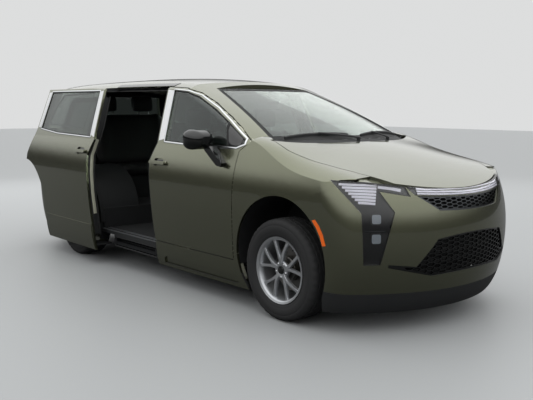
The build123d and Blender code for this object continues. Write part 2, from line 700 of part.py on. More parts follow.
# Ramp cassette under the right doorway, and the ramp that slides out of it
cavity_low = (ramp_rear_x - cassette_gap, -1100, ramp_low - cassette_gap)
cavity_high = (ramp_front_x + cassette_gap, ramp_length - cassette_y + cassette_gap,
               ramp_high + cassette_gap)
cassette = block((cavity_low[0] - cassette_wall, -cassette_y, cavity_low[2] - cassette_wall),
                 (cavity_high[0] + cassette_wall, cavity_high[1] + cassette_wall,
                  floor_low - seat_gap))
cassette -= block(cavity_low, cavity_high)
threshold = block((doorway_rear_x + 16, -cassette_y, floor_low + seat_gap), (42, -800, floor_top))
threshold -= cabin_space
cassette += block((ramp_rear_x, -cassette_y, floor_low - 15), (ramp_front_x, -cassette_y + 20,
                                                              floor_low + 15))
runner_low_z, runner_high_z, runner_length = 230, 256, 250
for inner_x, outer_x in ((cavity_low[0], ramp_rear_x - seat_gap),
                         (ramp_front_x + seat_gap, cavity_high[0])):
    cassette += block((inner_x, -cassette_y, runner_low_z),
                      (outer_x, runner_length - cassette_y, runner_high_z))
save(Compound(children=[*(cassette + threshold).solids()]), "ramp_cassette")
rib_pitch, rib_height = 100, 10
with BuildPart() as ramp:
    with Locations(((ramp_rear_x + ramp_front_x) / 2, ramp_length / 2 - cassette_y,
                    ramp_low + 15)):
        Box(ramp_front_x - ramp_rear_x, ramp_length, 30)
    for edge_x in (ramp_rear_x + 12, ramp_front_x - 12):
        with Locations((edge_x, ramp_length / 2 - cassette_y, (ramp_low + ramp_high) / 2)):
            Box(24, ramp_length, ramp_high - ramp_low)
    rib_count = int(ramp_length / rib_pitch)
    for index in range(rib_count):
        with Locations(((ramp_rear_x + ramp_front_x) / 2,
                        rib_pitch * (index + 0.5) - cassette_y, ramp_low + 30 + rib_height / 2)):
            Box(ramp_front_x - ramp_rear_x - 40, 12, rib_height)
save(ramp.part, "ramp")

# Wheelhouse liners: a half drum and an inner wall over each wheel
liner_thickness = 6


def liner(x, low_z, body_form):
    """Right-hand liner of one wheelhouse, ending at the inside of the outer panel."""
    drum = arch_cylinder(x, liner_radius, arch_depth_y - 15, 1200)
    drum -= arch_cylinder(x, liner_radius - liner_thickness, arch_depth_y - 9, 1300)
    drum -= block((x - 600, -1300, -100), (x + 600, 0, low_z))
    return drum & body_form


liner_form = lower_form(skin + seat_gap)
liners = [liner(front_arch_x, 340, liner_form & bonnet_solid(skin + seat_gap)),
          liner(rear_arch_x, rear_floor_top - 24, liner_form)]
save(Compound(children=[x for piece in liners for x in pair(piece).solids()]), "wheel_liners")

# Dashboard with its steering column
dash_front_x = toe_x - seat_gap
dash_outline = ((dash_front_x, 640), (dash_front_x, 1150), (980, 1172), (800, 1128), (735, 1060), (742, 950),
                (820, 880), (860, 700), (960, 640))
steering_y = 385
column_pivot = (640, steering_y, 985)
column_tilt = 24
dashboard = side_prism(dash_outline, -830, 830)
save(dashboard & cabin_form(wall + 12), "dashboard")
column_frame = Plane(origin=column_pivot, x_dir=(0, 1, 0),
                     z_dir=(-cos(radians(column_tilt)), 0, sin(radians(column_tilt))))
wheel_rim_radius, wheel_rim_tube = 185, 15
with BuildPart() as steering_wheel:
    with BuildSketch(Plane(origin=column_frame.origin, x_dir=column_frame.x_dir,
                           z_dir=column_frame.y_dir)):
        with Locations((wheel_rim_radius, 0)):
            Circle(wheel_rim_tube)
    revolve(axis=Axis(column_frame.origin, column_frame.z_dir))
    with BuildSketch(column_frame.offset(-18)):
        Circle(62)
    extrude(amount=30)
    with BuildSketch(column_frame.offset(-8)):
        for angle in (0, 180, 270):
            with Locations(Location((0, 0, 0), angle)):
                with Locations((wheel_rim_radius / 2, 0)):
                    Rectangle(wheel_rim_radius, 34)
    extrude(amount=14)
save(steering_wheel.part, "steering_wheel")
with BuildPart() as column:
    with BuildSketch(column_frame.offset(-18 - seat_gap)):
        Circle(38)
    extrude(amount=-150)
save(column.part - dashboard, "steering_column")

# Seats
Seat = namedtuple("Seat", "x y width base")
front_seats = (Seat(60, -400, 500, floor_top), Seat(60, 400, 500, floor_top))
seat_side = ((0, 0), (60, -10), (520, 10), (545, 70), (500, 130), (90, 120), (20, 330),
             (-60, 640), (-150, 660), (-205, 600), (-110, 300), (-60, 60))
cushion_z = 620
head_side = ((-132, 690), (-215, 690), (-235, 860), (-170, 880), (-140, 840))


def seat(place, cushion_low):
    """Seat with its headrest and pedestal."""
    left, right = place.y - place.width / 2, place.y + place.width / 2
    moved = [(place.x + x, cushion_low + z) for x, z in seat_side]
    head = [(place.x + x, cushion_low + z) for x, z in head_side]
    body = side_prism(moved, -right, -left)
    body += side_prism(head, -place.y - 130, -place.y + 130)
    for post_y in (place.y - 70, place.y + 70):
        with BuildPart() as post:
            with Locations(Location((place.x - 170, post_y, cushion_low + 670), (0, 14, 0))):
                Cylinder(8, 90)
        body += post.part
    return body + block((place.x + 40, place.y - 190, place.base),
                        (place.x + 470, place.y + 190, cushion_low + 20))


save(Compound(children=[x for place in front_seats for x in seat(place, cushion_z).solids()]),
     "front_seats")
rear_seat = Seat(-1960, 0, 960, rear_floor_top)
save(seat(rear_seat, 760), "rear_bench")

# Drivetrain and chassis
engine = block((1500, -380, 330), (2080, 380, 950))
with BuildPart() as engine_block:
    add(engine)
    chamfer(engine_block.edges().filter_by(Axis.X), 60)
save(engine_block.part, "engine_block")
kingpin_y = 765
arm_low, arm_high = 196, 226
subframe = block((1430, -400, 200), (1500, 400, 320)) + block((1430, -400, 200), (2100, -340, 260))
subframe += block((1430, 340, 200), (2100, 400, 260)) + block((2040, -400, 200), (2100, 400, 260))
subframe += block((1500, -380, 300), (2080, -300, 329.7)) + block((1500, 300, 300), (2080, 380, 329.7))
for low_x, high_x in ((1430, 1500), (2040, 2100)):
    ear = block((low_x, -rail_outer_y + 10, 200), (high_x, -390, rail_low_z - seat_gap))
    subframe += ear + mirrored(ear)
arm = plan_prism(((1440, -390), (1800, -390), (1660, -kingpin_y), (1586, -kingpin_y)),
                 arm_low, arm_high)
with BuildPart() as arm_end:
    with Locations((front_axle_x, -kingpin_y, (arm_low + arm_high) / 2)):
        Cylinder(37, arm_high - arm_low)
arm += arm_end.part
subframe += arm + mirrored(arm)
save(subframe, "front_subframe")
beam = block((-1420, -700, 300), (-1360, 700, 360))
beam += pair(block((-1466 - 45, -735, 310), (-960, -690, 380)))
with BuildPart() as stub:
    with Locations(Location((rear_axle_x, (-715 - hub_face_y) / 2, tyre_radius), (90, 0, 0))):
        Cylinder(52, hub_face_y - 715)
beam += pair(stub.part)
beam = beam - block((-1100, -1000, 100), (-940, 1000, 700))
beam += pair(block((-1101, -735, 340), (-992, -690, rear_floor_top - 25 - seat_gap)) - block((-1000, -1000, 100), (-900, 1000, 299)))
save(beam, "rear_axle")
tank = block((-900, -560, 190), (-760, 560, 299.7))
exhaust = block((-2400, 150, 300), (-1700, 480, 440)) + block((-2200, 250, 439), (-2160, 350, 494.7))
save(Compound(children=[*tank.solids(), *exhaust.solids()]), "underbody")

# Wheels, as turned sections of (radius, y) about the axle, y positive to the outside
tyre_section = ((228.3, -95), (228.3, 95), (241.3, 95), (290, 117.5), (345, 113),
                (tyre_radius, 84), (tyre_radius, -84), (345, -113), (290, -117.5), (241.3, -95))
rim_section = ((198, -90), (198, 60), (206, 78), (216, 92), (225, 106), (rim_radius, 106),
               (rim_radius, 96), (228, 95), (228, -95), (rim_radius, -96), (rim_radius, -104),
               (216, -104))


def turned(section, x, y_centre):
    """Right-hand wheel piece turned about its axle."""
    with BuildPart() as piece:
        with BuildSketch(Plane(origin=(x, y_centre, tyre_radius), x_dir=(0, 0, 1),
                               z_dir=(1, 0, 0))):
            with BuildLine():
                Polyline(*section, close=True)
            make_face()
        revolve(axis=Axis((x, y_centre, tyre_radius), (0, 1, 0)))
    return piece.part


spoke_face, spoke_depth = 84, 34
hub_inner = hub_face_y + seat_gap - wheel_y


def wheel(x):
    """Right-hand alloy wheel with its hub and brake disc."""
    face = Plane(origin=(x, -wheel_y - spoke_face, tyre_radius), x_dir=(1, 0, 0),
                 z_dir=(0, -1, 0))
    with BuildPart() as spokes:
        with BuildSketch(face.offset(-spoke_depth)):
            for index in range(5):
                for lean in (-1, 1):
                    with BuildLine():
                        Polyline(*[
                            (radius * cos(radians(72 * index + 90 + angle)),
                             radius * sin(radians(72 * index + 90 + angle)))
                            for radius, angle in ((40, lean * 2), (40, lean * 50), (110, lean * 17),
                                                  (214, lean * 23), (214, lean * 14), (110, lean * 6))
                        ], close=True)
                    make_face()
            Circle(62)
        extrude(amount=spoke_depth)
    rim = turned(rim_section, x, -wheel_y)
    disc = turned(((165, -46), (165, -20), (92, -20), (92, 30), (56, 30), (56, 60), (0, 60),
                   (0, hub_inner), (38, hub_inner), (38, -46)), x, -wheel_y)
    return rim + spokes.part + disc


for end, x in (("front", front_axle_x), ("rear", rear_axle_x)):
    tyre = turned(tyre_section, x, -wheel_y)
    alloy = wheel(x)
    save(tyre, f"tyre_{end}_right")
    save(mirrored(tyre), f"tyre_{end}_left")
    save(alloy, f"wheel_{end}_right")
    save(mirrored(alloy), f"wheel_{end}_left")

# Front knuckles: hub carrier, lower pin on the steering axis, steering arm
with BuildPart() as knuckle:
    with Locations(Location((front_axle_x, (-725 - hub_face_y) / 2, tyre_radius), (90, 0, 0))):
        Cylinder(66, hub_face_y - 725)
    with Locations((front_axle_x, -kingpin_y, (arm_high + seat_gap + 320) / 2)):
        Cylinder(18, 320 - arm_high - seat_gap)
    with Locations((front_axle_x, -738, tyre_radius + 100)):
        Box(60, 30, 200)
    with Locations((front_axle_x - 90, -735, tyre_radius)):
        Box(140, 24, 30)
save(knuckle.part, "knuckle_right")
save(mirrored(knuckle.part), "knuckle_left")

# Door mirrors: a housing lofted from its glass frame to its rounded nose, on an arm from the door
MirrorSection = namedtuple("MirrorSection", "x y z width height corner")
mirror_sections = (
    MirrorSection(700, -1036, 1262, 214, 140, 52),
    MirrorSection(722, -1036, 1262, 226, 154, 60),
    MirrorSection(780, -1034, 1262, 216, 148, 66),
    MirrorSection(826, -1028, 1260, 168, 112, 52),
    MirrorSection(846, -1020, 1257, 96, 60, 29),
)
with BuildPart() as mirror_head:
    for row in mirror_sections:
        with BuildSketch(Plane(origin=(row.x, row.y, row.z), x_dir=(0, 1, 0), z_dir=(-1, 0, 0))):
            RectangleRounded(row.width, row.height, row.corner)
    loft()
    with BuildSketch(Plane(origin=(699, -1036, 1262), x_dir=(0, 1, 0), z_dir=(1, 0, 0))):
        RectangleRounded(188, 116, 44)
    extrude(amount=9, mode=Mode.SUBTRACT)
mirror_arm = side_prism(((1006, 1062), (1012, 1092), (930, 1150), (862, 1212), (790, 1212),
                         (800, 1180), (900, 1104), (950, 1070)), 940, 1012)
mirror_part = (mirror_head.part + mirror_arm) - cabin_outer
save(mirror_part, "mirror_right")
save(mirrored(mirror_part), "mirror_left")

# Wipers lying on the foot of the windscreen, as (x, y) outlines of a blade and its arm
Wiper = namedtuple("Wiper", "blade arm pivot")
wipers = (
    Wiper(((1318, -650), (1332, -650), (1470, -110), (1456, -110)),
          ((1543, -60), (1555, -72), (1416, -372), (1400, -366)), (1544, -66)),
    Wiper(((1480, 20), (1494, 20), (1332, 640), (1318, 640)),
          ((1516, 326), (1528, 316), (1450, 200), (1436, 208)), (1517, 318)),
)
blade_form, arm_form = upper_form(-11), upper_form(-20)
blades = []
for wiper in wipers:
    blade = (blade_form - screen_seat) & plan_prism(wiper.blade, 1150, 1600)
    arm = (arm_form - blade_form) & plan_prism(wiper.arm, 1150, 1600)
    with BuildPart() as post:
        with BuildSketch(Plane.XY.offset(1150)):
            with Locations(wiper.pivot):
                Circle(14)
        extrude(amount=400)
    blades.append(blade + arm + ((arm_form - screen_seat) & post.part))
save(Compound(children=[x for blade in blades for x in blade.solids()]), "wipers")

# What carries the open sliding door: a roller arm in each track and one under the sill
Arm = namedtuple("Arm", "rear front inner_y low high door_face")
door_faces = [opened(form) for form in (upper_form(skin + seat_gap), upper_form(wall + seat_gap),
                                        liner_form)]
arms = (
    Arm(-1010, -975, 718, upper_track.z - roller_half, upper_track.z + roller_half, 0),
    Arm(-2160, -2110, 857, centre_track.z - roller_half, centre_track.z + roller_half, 1),
    Arm(-1040, -860, 905, sill_z - seat_gap - 12, sill_z - seat_gap, 2),
)
save(Compound(children=[x for arm in arms
                        for x in (block((arm.rear, -1300, arm.low), (arm.front, -arm.inner_y, arm.high))
                                  & door_faces[arm.door_face]).solids()]), "door_arms")
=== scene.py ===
"""Looks of a side-entry wheelchair accessible minivan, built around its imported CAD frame.

Every length is in metres in the CAD frame: +X to the front, +Y to the left, +Z up, with the origin
on the ground. The CAD nodes keep their shape and get their finishes here, and the tyres, wheels,
seats, lamps' insides and trims are pieces of this file.
"""
from __future__ import annotations

import logging
import math
from dataclasses import dataclass
from enum import Enum
from typing import Callable, Iterable, Optional, Sequence

import bmesh
import bpy
from mathutils import Matrix, Vector
from mathutils.bvhtree import BVHTree

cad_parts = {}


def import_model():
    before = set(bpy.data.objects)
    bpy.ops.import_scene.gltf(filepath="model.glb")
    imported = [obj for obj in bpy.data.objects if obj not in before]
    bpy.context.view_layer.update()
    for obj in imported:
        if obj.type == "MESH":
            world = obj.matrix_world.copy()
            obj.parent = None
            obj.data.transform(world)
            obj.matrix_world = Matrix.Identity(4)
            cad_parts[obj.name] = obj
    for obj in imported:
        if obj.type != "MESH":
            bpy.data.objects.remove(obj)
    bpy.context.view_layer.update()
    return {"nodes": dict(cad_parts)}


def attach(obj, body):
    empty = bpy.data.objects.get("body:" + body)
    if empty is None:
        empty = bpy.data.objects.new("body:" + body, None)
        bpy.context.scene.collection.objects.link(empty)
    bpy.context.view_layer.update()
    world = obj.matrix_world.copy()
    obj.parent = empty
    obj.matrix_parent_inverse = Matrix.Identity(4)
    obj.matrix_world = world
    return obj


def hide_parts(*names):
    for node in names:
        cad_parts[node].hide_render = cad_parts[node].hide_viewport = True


log = logging.getLogger("van")

MM = 0.001
# How far the open sliding door stands back and out
SLIDE_BACK, SLIDE_OUT = 0.890, 0.130
# Direction that the headlamps face, outward from straight ahead
LAMP_BEARING = math.radians(48.8)
# Edges sharper than these, in degrees, stay sharp: on CAD nodes and on the pieces of this file
EDGE_ANGLE, SEAM_ANGLE = 32.0, 40.0
AXLES = (("front", 1.623), ("rear", -1.466))
UP, LEFTWARD, FORWARD = Vector((0, 0, 1)), Vector((0, 1, 0)), Vector((1, 0, 0))
Point = Sequence[float]


class Side(Enum):
    """Side of the vehicle, with the sign of its Y."""

    RIGHT = -1
    LEFT = 1

    @property
    def word(self) -> str:
        """The word that node names use."""
        return self.name.lower()


class Pattern(Enum):
    """How a finish's surface was made."""

    PLAIN = "plain"
    FLAKE = "metallic flake under lacquer"
    GRAIN = "moulded grain"
    BRUSHED = "brushed along its length"
    LOOPS = "looped carpet"
    CAST = "cast skin"
    LEATHER = "leather pores"


def linear(colour: str) -> tuple[float, float, float, float]:
    """Turns an sRGB hex value into Blender's linear colour.

    Args:
        colour: Six hex digits with a leading #.

    Returns:
        Red, green, blue and an alpha of 1.
    """
    parts = [int(colour[i:i + 2], 16) / 255 for i in (1, 3, 5)]
    bent = [c / 12.92 if c <= 0.04045 else ((c + 0.055) / 1.055) ** 2.4 for c in parts]
    return (bent[0], bent[1], bent[2], 1.0)


def add_node(tree: bpy.types.NodeTree, kind: str, links: Optional[dict] = None,
             **settings) -> bpy.types.Node:
    """Adds one node with its settings and its links.

    Args:
        tree: The material's or world's node tree.
        kind: The node's type name.
        links: For each input's name or number, the output socket that feeds it.
        settings: Attributes of the node, or values of inputs given as in_NAME or in_NUMBER.

    Returns:
        The new node.
    """
    node = tree.nodes.new(kind)
    for key, value in settings.items():
        if key.startswith("in_"):
            name = key[3:]
            socket = int(name) if name.isdigit() else name.replace("_", " ")
            node.inputs[socket].default_value = value
        else:
            setattr(node, key, value)
    for name, socket in (links or {}).items():
        tree.links.new(socket, node.inputs[name])
    return node


@dataclass(frozen=True)
class Finish:
    """One real material as it was made, for a Principled shader.

    Attributes:
        name: The material's common name.
        colour: Its sRGB hex colour.
        roughness: Its roughness.
        metallic: 1 for bare metal, part of 1 for metallic paint.
        ior: Its index of refraction.
        coat: Weight of a clear lacquer over it.
        transmission: 1 for clear glass or plastic.
        pattern: How its surface was made.
        scale_mm: Size of the pattern's unit.
        depth_mm: Height of the pattern's relief.
        mottle: How far the colour varies over the pattern, as a share.
        glow: Strength of its own light.
    """

    name: str
    colour: str
    roughness: float
    metallic: float = 0.0
    ior: float = 1.5
    coat: float = 0.0
    transmission: float = 0.0
    pattern: Pattern = Pattern.PLAIN
    scale_mm: float = 5.0
    depth_mm: float = 0.1
    mottle: float = 0.0
    glow: float = 0.0

    def material(self) -> bpy.types.Material:
        """Makes the material, or returns the one that was made before."""
        made = bpy.data.materials.get(self.name)
        if made:
            return made
        made = bpy.data.materials.new(self.name)
        made.use_nodes = True
        tree = made.node_tree
        shader = tree.nodes["Principled BSDF"]
        shader.inputs["Base Color"].default_value = linear(self.colour)
        shader.inputs["Roughness"].default_value = self.roughness
        shader.inputs["Metallic"].default_value = self.metallic
        if self.metallic < 1:
            shader.inputs["IOR"].default_value = self.ior
        shader.inputs["Coat Weight"].default_value = self.coat
        shader.inputs["Coat Roughness"].default_value = 0.02
        shader.inputs["Transmission Weight"].default_value = self.transmission
        if self.glow:
            shader.inputs["Emission Color"].default_value = linear(self.colour)
            shader.inputs["Emission Strength"].default_value = self.glow
        if self.pattern is not Pattern.PLAIN:
            self.add_pattern(tree, shader)
        return made

    def add_pattern(self, tree: bpy.types.NodeTree, shader: bpy.types.Node) -> None:
        """Adds the surface's relief and its variation of colour and gloss.

        Args:
            tree: The material's node tree.
            shader: Its Principled node.
        """
        place = add_node(tree, "ShaderNodeTexCoord")
        stretch = (0.04, 1, 1) if self.pattern is Pattern.BRUSHED else (1, 1, 1)
        mapped = add_node(tree, "ShaderNodeMapping", {"Vector": place.outputs["Object"]},
                          in_Scale=stretch)
        size = 1 / (self.scale_mm * MM)
        if self.pattern in (Pattern.FLAKE, Pattern.LEATHER):
            cells = add_node(tree, "ShaderNodeTexVoronoi", {"Vector": mapped.outputs[0]},
                             in_Scale=size)
            height = cells.outputs["Distance"]
        else:
            detail = 6.0 if self.pattern in (Pattern.CAST, Pattern.LOOPS) else 3.0
            noise = add_node(tree, "ShaderNodeTexNoise", {"Vector": mapped.outputs[0]},
                             in_Scale=size, in_Detail=detail)
            height = noise.outputs["Fac"]
        bump = add_node(tree, "ShaderNodeBump", {"Height": height}, in_Distance=self.depth_mm * MM,
                        in_Strength=1.0)
        tree.links.new(bump.outputs["Normal"], shader.inputs["Normal"])
        if self.mottle:
            # Dust, handling and uneven pigment: broad patches that change the colour a little.
            patches = add_node(tree, "ShaderNodeTexNoise", {"Vector": place.outputs["Object"]},
                               in_Scale=3.0, in_Detail=5.0)
            base = linear(self.colour)
            low = tuple(c * (1 - self.mottle) for c in base[:3]) + (1.0,)
            high = tuple(min(1.0, c * (1 + self.mottle)) for c in base[:3]) + (1.0,)
            blend = add_node(tree, "ShaderNodeMix", {"Factor": patches.outputs["Fac"]},
                             data_type="RGBA", in_6=low, in_7=high)
            tree.links.new(blend.outputs[2], shader.inputs["Base Color"])


# Two-coat metallic paint: aluminium flake in an olive-green base under a clear lacquer, which
# keeps a sharp reflection over a base that darkens towards its edges.
PAINT = Finish("metallic_paint", "#72745F", 0.25, metallic=0.94, coat=1.0, pattern=Pattern.FLAKE,
               scale_mm=1.6, depth_mm=0.012, mottle=0.03)
# The same panel pressed steel inside the doors and the jambs, under a thinner coat, and painted
# paler than the outer paint as a painted highlight.
LIT_JAMB_PAINT = Finish("lit_jamb_paint", "#B4B4A2", 0.45, metallic=0.4, coat=0.4, pattern=Pattern.FLAKE,
                    scale_mm=2.4, depth_mm=0.02)
# Polypropylene moulded with a fine spark-eroded grain.
BLACK_PLASTIC = Finish("moulded_polypropylene", "#1B1C1D", 0.62, pattern=Pattern.GRAIN,
                       scale_mm=2.2, depth_mm=0.12, mottle=0.12)
# ABS moulded against a polished tool, in piano black.
GLOSS_BLACK = Finish("piano_black_abs", "#070808", 0.10, coat=0.5, pattern=Pattern.GRAIN,
                     scale_mm=30.0, depth_mm=0.05)
CHROME = Finish("bright_chrome_plate", "#D9DBDD", 0.09, metallic=1.0, pattern=Pattern.GRAIN,
                scale_mm=25.0, depth_mm=0.04)
# Tempered glass with the slight green of its iron, and the darker privacy glass behind.
SCREEN_GLASS = Finish("laminated_green_glass", "#DCE8E0", 0.0, ior=1.45, transmission=1.0)
DOOR_GLASS = Finish("tempered_tinted_glass", "#98A8A2", 0.0, ior=1.45, transmission=1.0)
PRIVACY_GLASS = Finish("privacy_glass", "#98A49E", 0.0, ior=1.45, transmission=1.0)
RUBBER = Finish("carbon_black_rubber", "#1D1D1E", 0.78, ior=1.52, pattern=Pattern.GRAIN,
                scale_mm=3.0, depth_mm=0.2, mottle=0.2)
SEAL = Finish("extruded_seal_rubber", "#121313", 0.7, ior=1.52, pattern=Pattern.GRAIN,
              scale_mm=2.0, depth_mm=0.1)
# Aluminium cast, machined and lacquered silver.
ALLOY = Finish("silver_lacquered_aluminium", "#B9BBBE", 0.34, metallic=0.85, coat=0.5,
               pattern=Pattern.CAST, scale_mm=6.0, depth_mm=0.03)
DISC = Finish("turned_grey_iron", "#6E6C69", 0.38, metallic=1.0, pattern=Pattern.BRUSHED,
              scale_mm=3.0, depth_mm=0.05)
CAST_IRON = Finish("cast_iron", "#3B3A39", 0.75, metallic=0.6, pattern=Pattern.CAST,
                   scale_mm=9.0, depth_mm=0.5, mottle=0.25)
UNDERCOAT = Finish("stone_chip_undercoat", "#232323", 0.85, pattern=Pattern.CAST, scale_mm=7.0,
                   depth_mm=0.6, mottle=0.2)
CARPET = Finish("looped_nylon_carpet", "#18191A", 0.95, pattern=Pattern.LOOPS, scale_mm=3.5,
                depth_mm=1.6, mottle=0.2)
RAMP_METAL = Finish("anodised_aluminium_plate", "#8A8C8F", 0.42, metallic=0.9,
                    pattern=Pattern.BRUSHED, scale_mm=3.0, depth_mm=0.06, mottle=0.08)
RAMP_DARK = Finish("black_anodised_plate", "#2C2D2F", 0.45, metallic=0.8, pattern=Pattern.BRUSHED,
                   scale_mm=3.0, depth_mm=0.06, mottle=0.08)
LEATHER = Finish("black_leather", "#161616", 0.52, pattern=Pattern.LEATHER, scale_mm=4.0,
                 depth_mm=0.25, mottle=0.15)
TRIM_PANEL = Finish("soft_touch_vinyl", "#151617", 0.68, pattern=Pattern.LEATHER, scale_mm=3.5,
                    depth_mm=0.2, mottle=0.1)
HEADLINER = Finish("knitted_headliner", "#A9A59C", 0.95, pattern=Pattern.LOOPS, scale_mm=3.0,
                   depth_mm=0.5, mottle=0.06)
# Coextruded acrylic over the door frames beside the pillars: near black, but as bright as a mirror
# at a low angle.
PILLAR_GLOSS = Finish("gloss_pillar_acrylic", "#16181A", 0.06, ior=1.49, coat=1.0,
                      pattern=Pattern.GRAIN, scale_mm=60.0, depth_mm=0.03)
# Sealed concrete, rolled in one pale grey.
FLOOR_COAT = Finish("rolled_floor_coating", "#AEAEAC", 0.5, pattern=Pattern.GRAIN, scale_mm=60.0,
                    depth_mm=0.2, mottle=0.02)
# Its faint glow is painted light: a painted sheen that keeps the guides pale.
LIGHT_GUIDE = Finish("frosted_light_guide", "#EDEBF5", 0.25, ior=1.49, coat=0.5,
                     pattern=Pattern.GRAIN, scale_mm=6.0, depth_mm=0.1, glow=0.12)
LAMP_HOUSING = Finish("lamp_housing_abs", "#0C0C0E", 0.28, pattern=Pattern.GRAIN, scale_mm=4.0,
                      depth_mm=0.05)
# Chrome under a smoked lacquer on the grille's honeycomb.
SMOKED_CHROME = Finish("smoked_chrome", "#4C4E50", 0.18, metallic=1.0, pattern=Pattern.GRAIN,
                       scale_mm=20.0, depth_mm=0.03)
DUCT = Finish("duct_polypropylene", "#0B0B0C", 0.8, pattern=Pattern.GRAIN, scale_mm=3.0,
              depth_mm=0.2)
# Satin chrome strips on the pillars, brushed before plating.
SATIN_CHROME = Finish("satin_chrome_strip", "#DDDEDF", 0.22, metallic=1.0, pattern=Pattern.BRUSHED,
                      scale_mm=2.0, depth_mm=0.01)
MIRROR_GLASS = Finish("silvered_glass", "#E6E9EA", 0.01, metallic=1.0, pattern=Pattern.GRAIN,
                      scale_mm=90.0, depth_mm=0.01)
PLATE = Finish("painted_aluminium_plate", "#D8D8D4", 0.4, coat=0.3, pattern=Pattern.GRAIN,
               scale_mm=8.0, depth_mm=0.04, mottle=0.04)
DARK_GLASS = Finish("moulded_projector_glass", "#9AA2AA", 0.05, ior=1.5, coat=1.0,
                    pattern=Pattern.GRAIN, scale_mm=9.0, depth_mm=0.1)
LAMP_LENS = Finish("clear_polycarbonate", "#F2F4F5", 0.0, ior=1.5, transmission=1.0)
RED_LENS = Finish("red_acrylic", "#8E0E10", 0.12, ior=1.49, coat=0.8, pattern=Pattern.GRAIN,
                  scale_mm=12.0, depth_mm=0.3)
AMBER_LENS = Finish("amber_acrylic", "#E06010", 0.15, ior=1.49, coat=0.8, pattern=Pattern.GRAIN,
                    scale_mm=8.0, depth_mm=0.2)


def shade(obj: bpy.types.Object, finish: Finish, angle: float = EDGE_ANGLE) -> None:
    """Gives an object one finish and smooth shading that breaks at its edges.

    Args:
        obj: A mesh object.
        finish: Its finish.
        angle: Edges sharper than this, in degrees, stay sharp.
    """
    obj.data.materials.clear()
    obj.data.materials.append(finish.material())
    smooth(obj, angle)


def smooth(obj: bpy.types.Object, angle: float) -> None:
    """Shades an object smooth with sharp edges past an angle in degrees."""
    mesh = obj.data
    mesh.shade_smooth()
    if not mesh.has_custom_normals:
        mesh.set_sharp_from_angle(angle=math.radians(angle))


def make_piece(name: str, shape: bmesh.types.BMesh, finish: Finish, body: str,
               angle: float = EDGE_ANGLE) -> bpy.types.Object:
    """Turns a mesh into a finished piece that rides on a CAD body.

    Args:
        name: The piece's name.
        shape: Its mesh, in the row frame. It is freed here.
        finish: Its finish.
        body: The CAD body that it rides on.
        angle: Edges sharper than this, in degrees, stay sharp.

    Returns:
        The new object.
    """
    mesh = bpy.data.meshes.new(name)
    bmesh.ops.recalc_face_normals(shape, faces=shape.faces)
    shape.to_mesh(mesh)
    shape.free()
    obj = bpy.data.objects.new(name, mesh)
    bpy.context.scene.collection.objects.link(obj)
    shade(obj, finish, angle)
    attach(obj, body)
    log.info("%s: %d faces on %s", name, len(mesh.polygons), body)
    return obj


def join_rows(shape: bmesh.types.BMesh, rows: Sequence[Sequence], around: bool = True,
              closed: bool = False, capped: bool = False) -> None:
    """Joins rows of vertices with quads.

    Args:
        shape: The mesh to add to.
        rows: Rows of vertices, all of one length.
        around: Whether each row joins its own start.
        closed: Whether the last row joins the first.
        capped: Whether a face closes the first and the last row.
    """
    for i in range(len(rows) if closed else len(rows) - 1):
        one, two = rows[i], rows[(i + 1) % len(rows)]
        for j in range(len(one) if around else len(one) - 1):
            k = (j + 1) % len(one)
            shape.faces.new((one[j], one[k], two[k], two[j]))
    if capped:
        shape.faces.new(rows[0])
        shape.faces.new(list(reversed(rows[-1])))


def sweep(shape: bmesh.types.BMesh, path: Sequence[Vector], ups: Vector | Sequence[Vector],
          profile: Sequence[Point], closed: bool = False) -> None:
    """Sweeps a closed profile along a path.

    Args:
        shape: The mesh to add to.
        path: Points of the path.
        ups: Direction that the profile's second axis takes, for all points or for each.
        profile: Points (across, up) of the profile, in order.
        closed: Whether the path joins its own start.
    """
    rings = []
    count = len(path)
    for i, point in enumerate(path):
        before = path[(i - 1) % count] if closed or i else point
        after = path[(i + 1) % count] if closed or i < count - 1 else point
        along = (after - before).normalized()
        up = ups if isinstance(ups, Vector) else ups[i]
        up = (up - along * up.dot(along)).normalized()
        across = along.cross(up)
        rings.append([shape.verts.new(point + across * a + up * b) for a, b in profile])
    join_rows(shape, rings, closed=closed, capped=not closed)


def rounded_rectangle(width: float, height: float, corner: float, steps: int = 3,
                      base: float = 0.0) -> list[tuple[float, float]]:
    """Profile of a rounded rectangle that stands on its base line.

    Args:
        width: Its width.
        height: Its height.
        corner: Radius of its corners.
        steps: Points in each corner, less one.
        base: Height of its base line.

    Returns:
        Its points in order.
    """
    points = []
    out, low, high = width / 2 - corner, base + corner, base + height - corner
    for centre_x, centre_y, start in ((out, low, -90), (out, high, 0), (-out, high, 90),
                                      (-out, low, 180)):
        for step in range(steps + 1):
            angle = math.radians(start + 90 * step / steps)
            points.append((centre_x + corner * math.cos(angle),
                           centre_y + corner * math.sin(angle)))
    return points


def swept_piece(name: str, paths: Sequence[Sequence[Vector]], ups: Vector,
                profile: Sequence[Point], finish: Finish, body: str) -> bpy.types.Object:
    """Makes a piece of one or more sweeps of a profile.

    Args:
        name: The piece's name.
        paths: The points of each sweep.
        ups: Direction that the profile's second axis takes.
        profile: Points (across, up) of the profile, in order.
        finish: Its finish.
        body: The CAD body that it rides on.

    Returns:
        The new object.
    """
    shape = bmesh.new()
    for path in paths:
        sweep(shape, path, ups, profile)
    return make_piece(name, shape, finish, body, SEAM_ANGLE)


def resampled(points: Sequence[Point], step: float) -> list[tuple[float, ...]]:
    """Points along straight runs no further apart than a step."""
    out: list[tuple[float, ...]] = []
    for start, end in zip(points, points[1:]):
        length = math.dist(start, end)
        parts = max(1, math.ceil(length / step))
        out += [tuple(a + (b - a) * i / parts for a, b in zip(start, end)) for i in range(parts)]
    out.append(tuple(points[-1]))
    return out


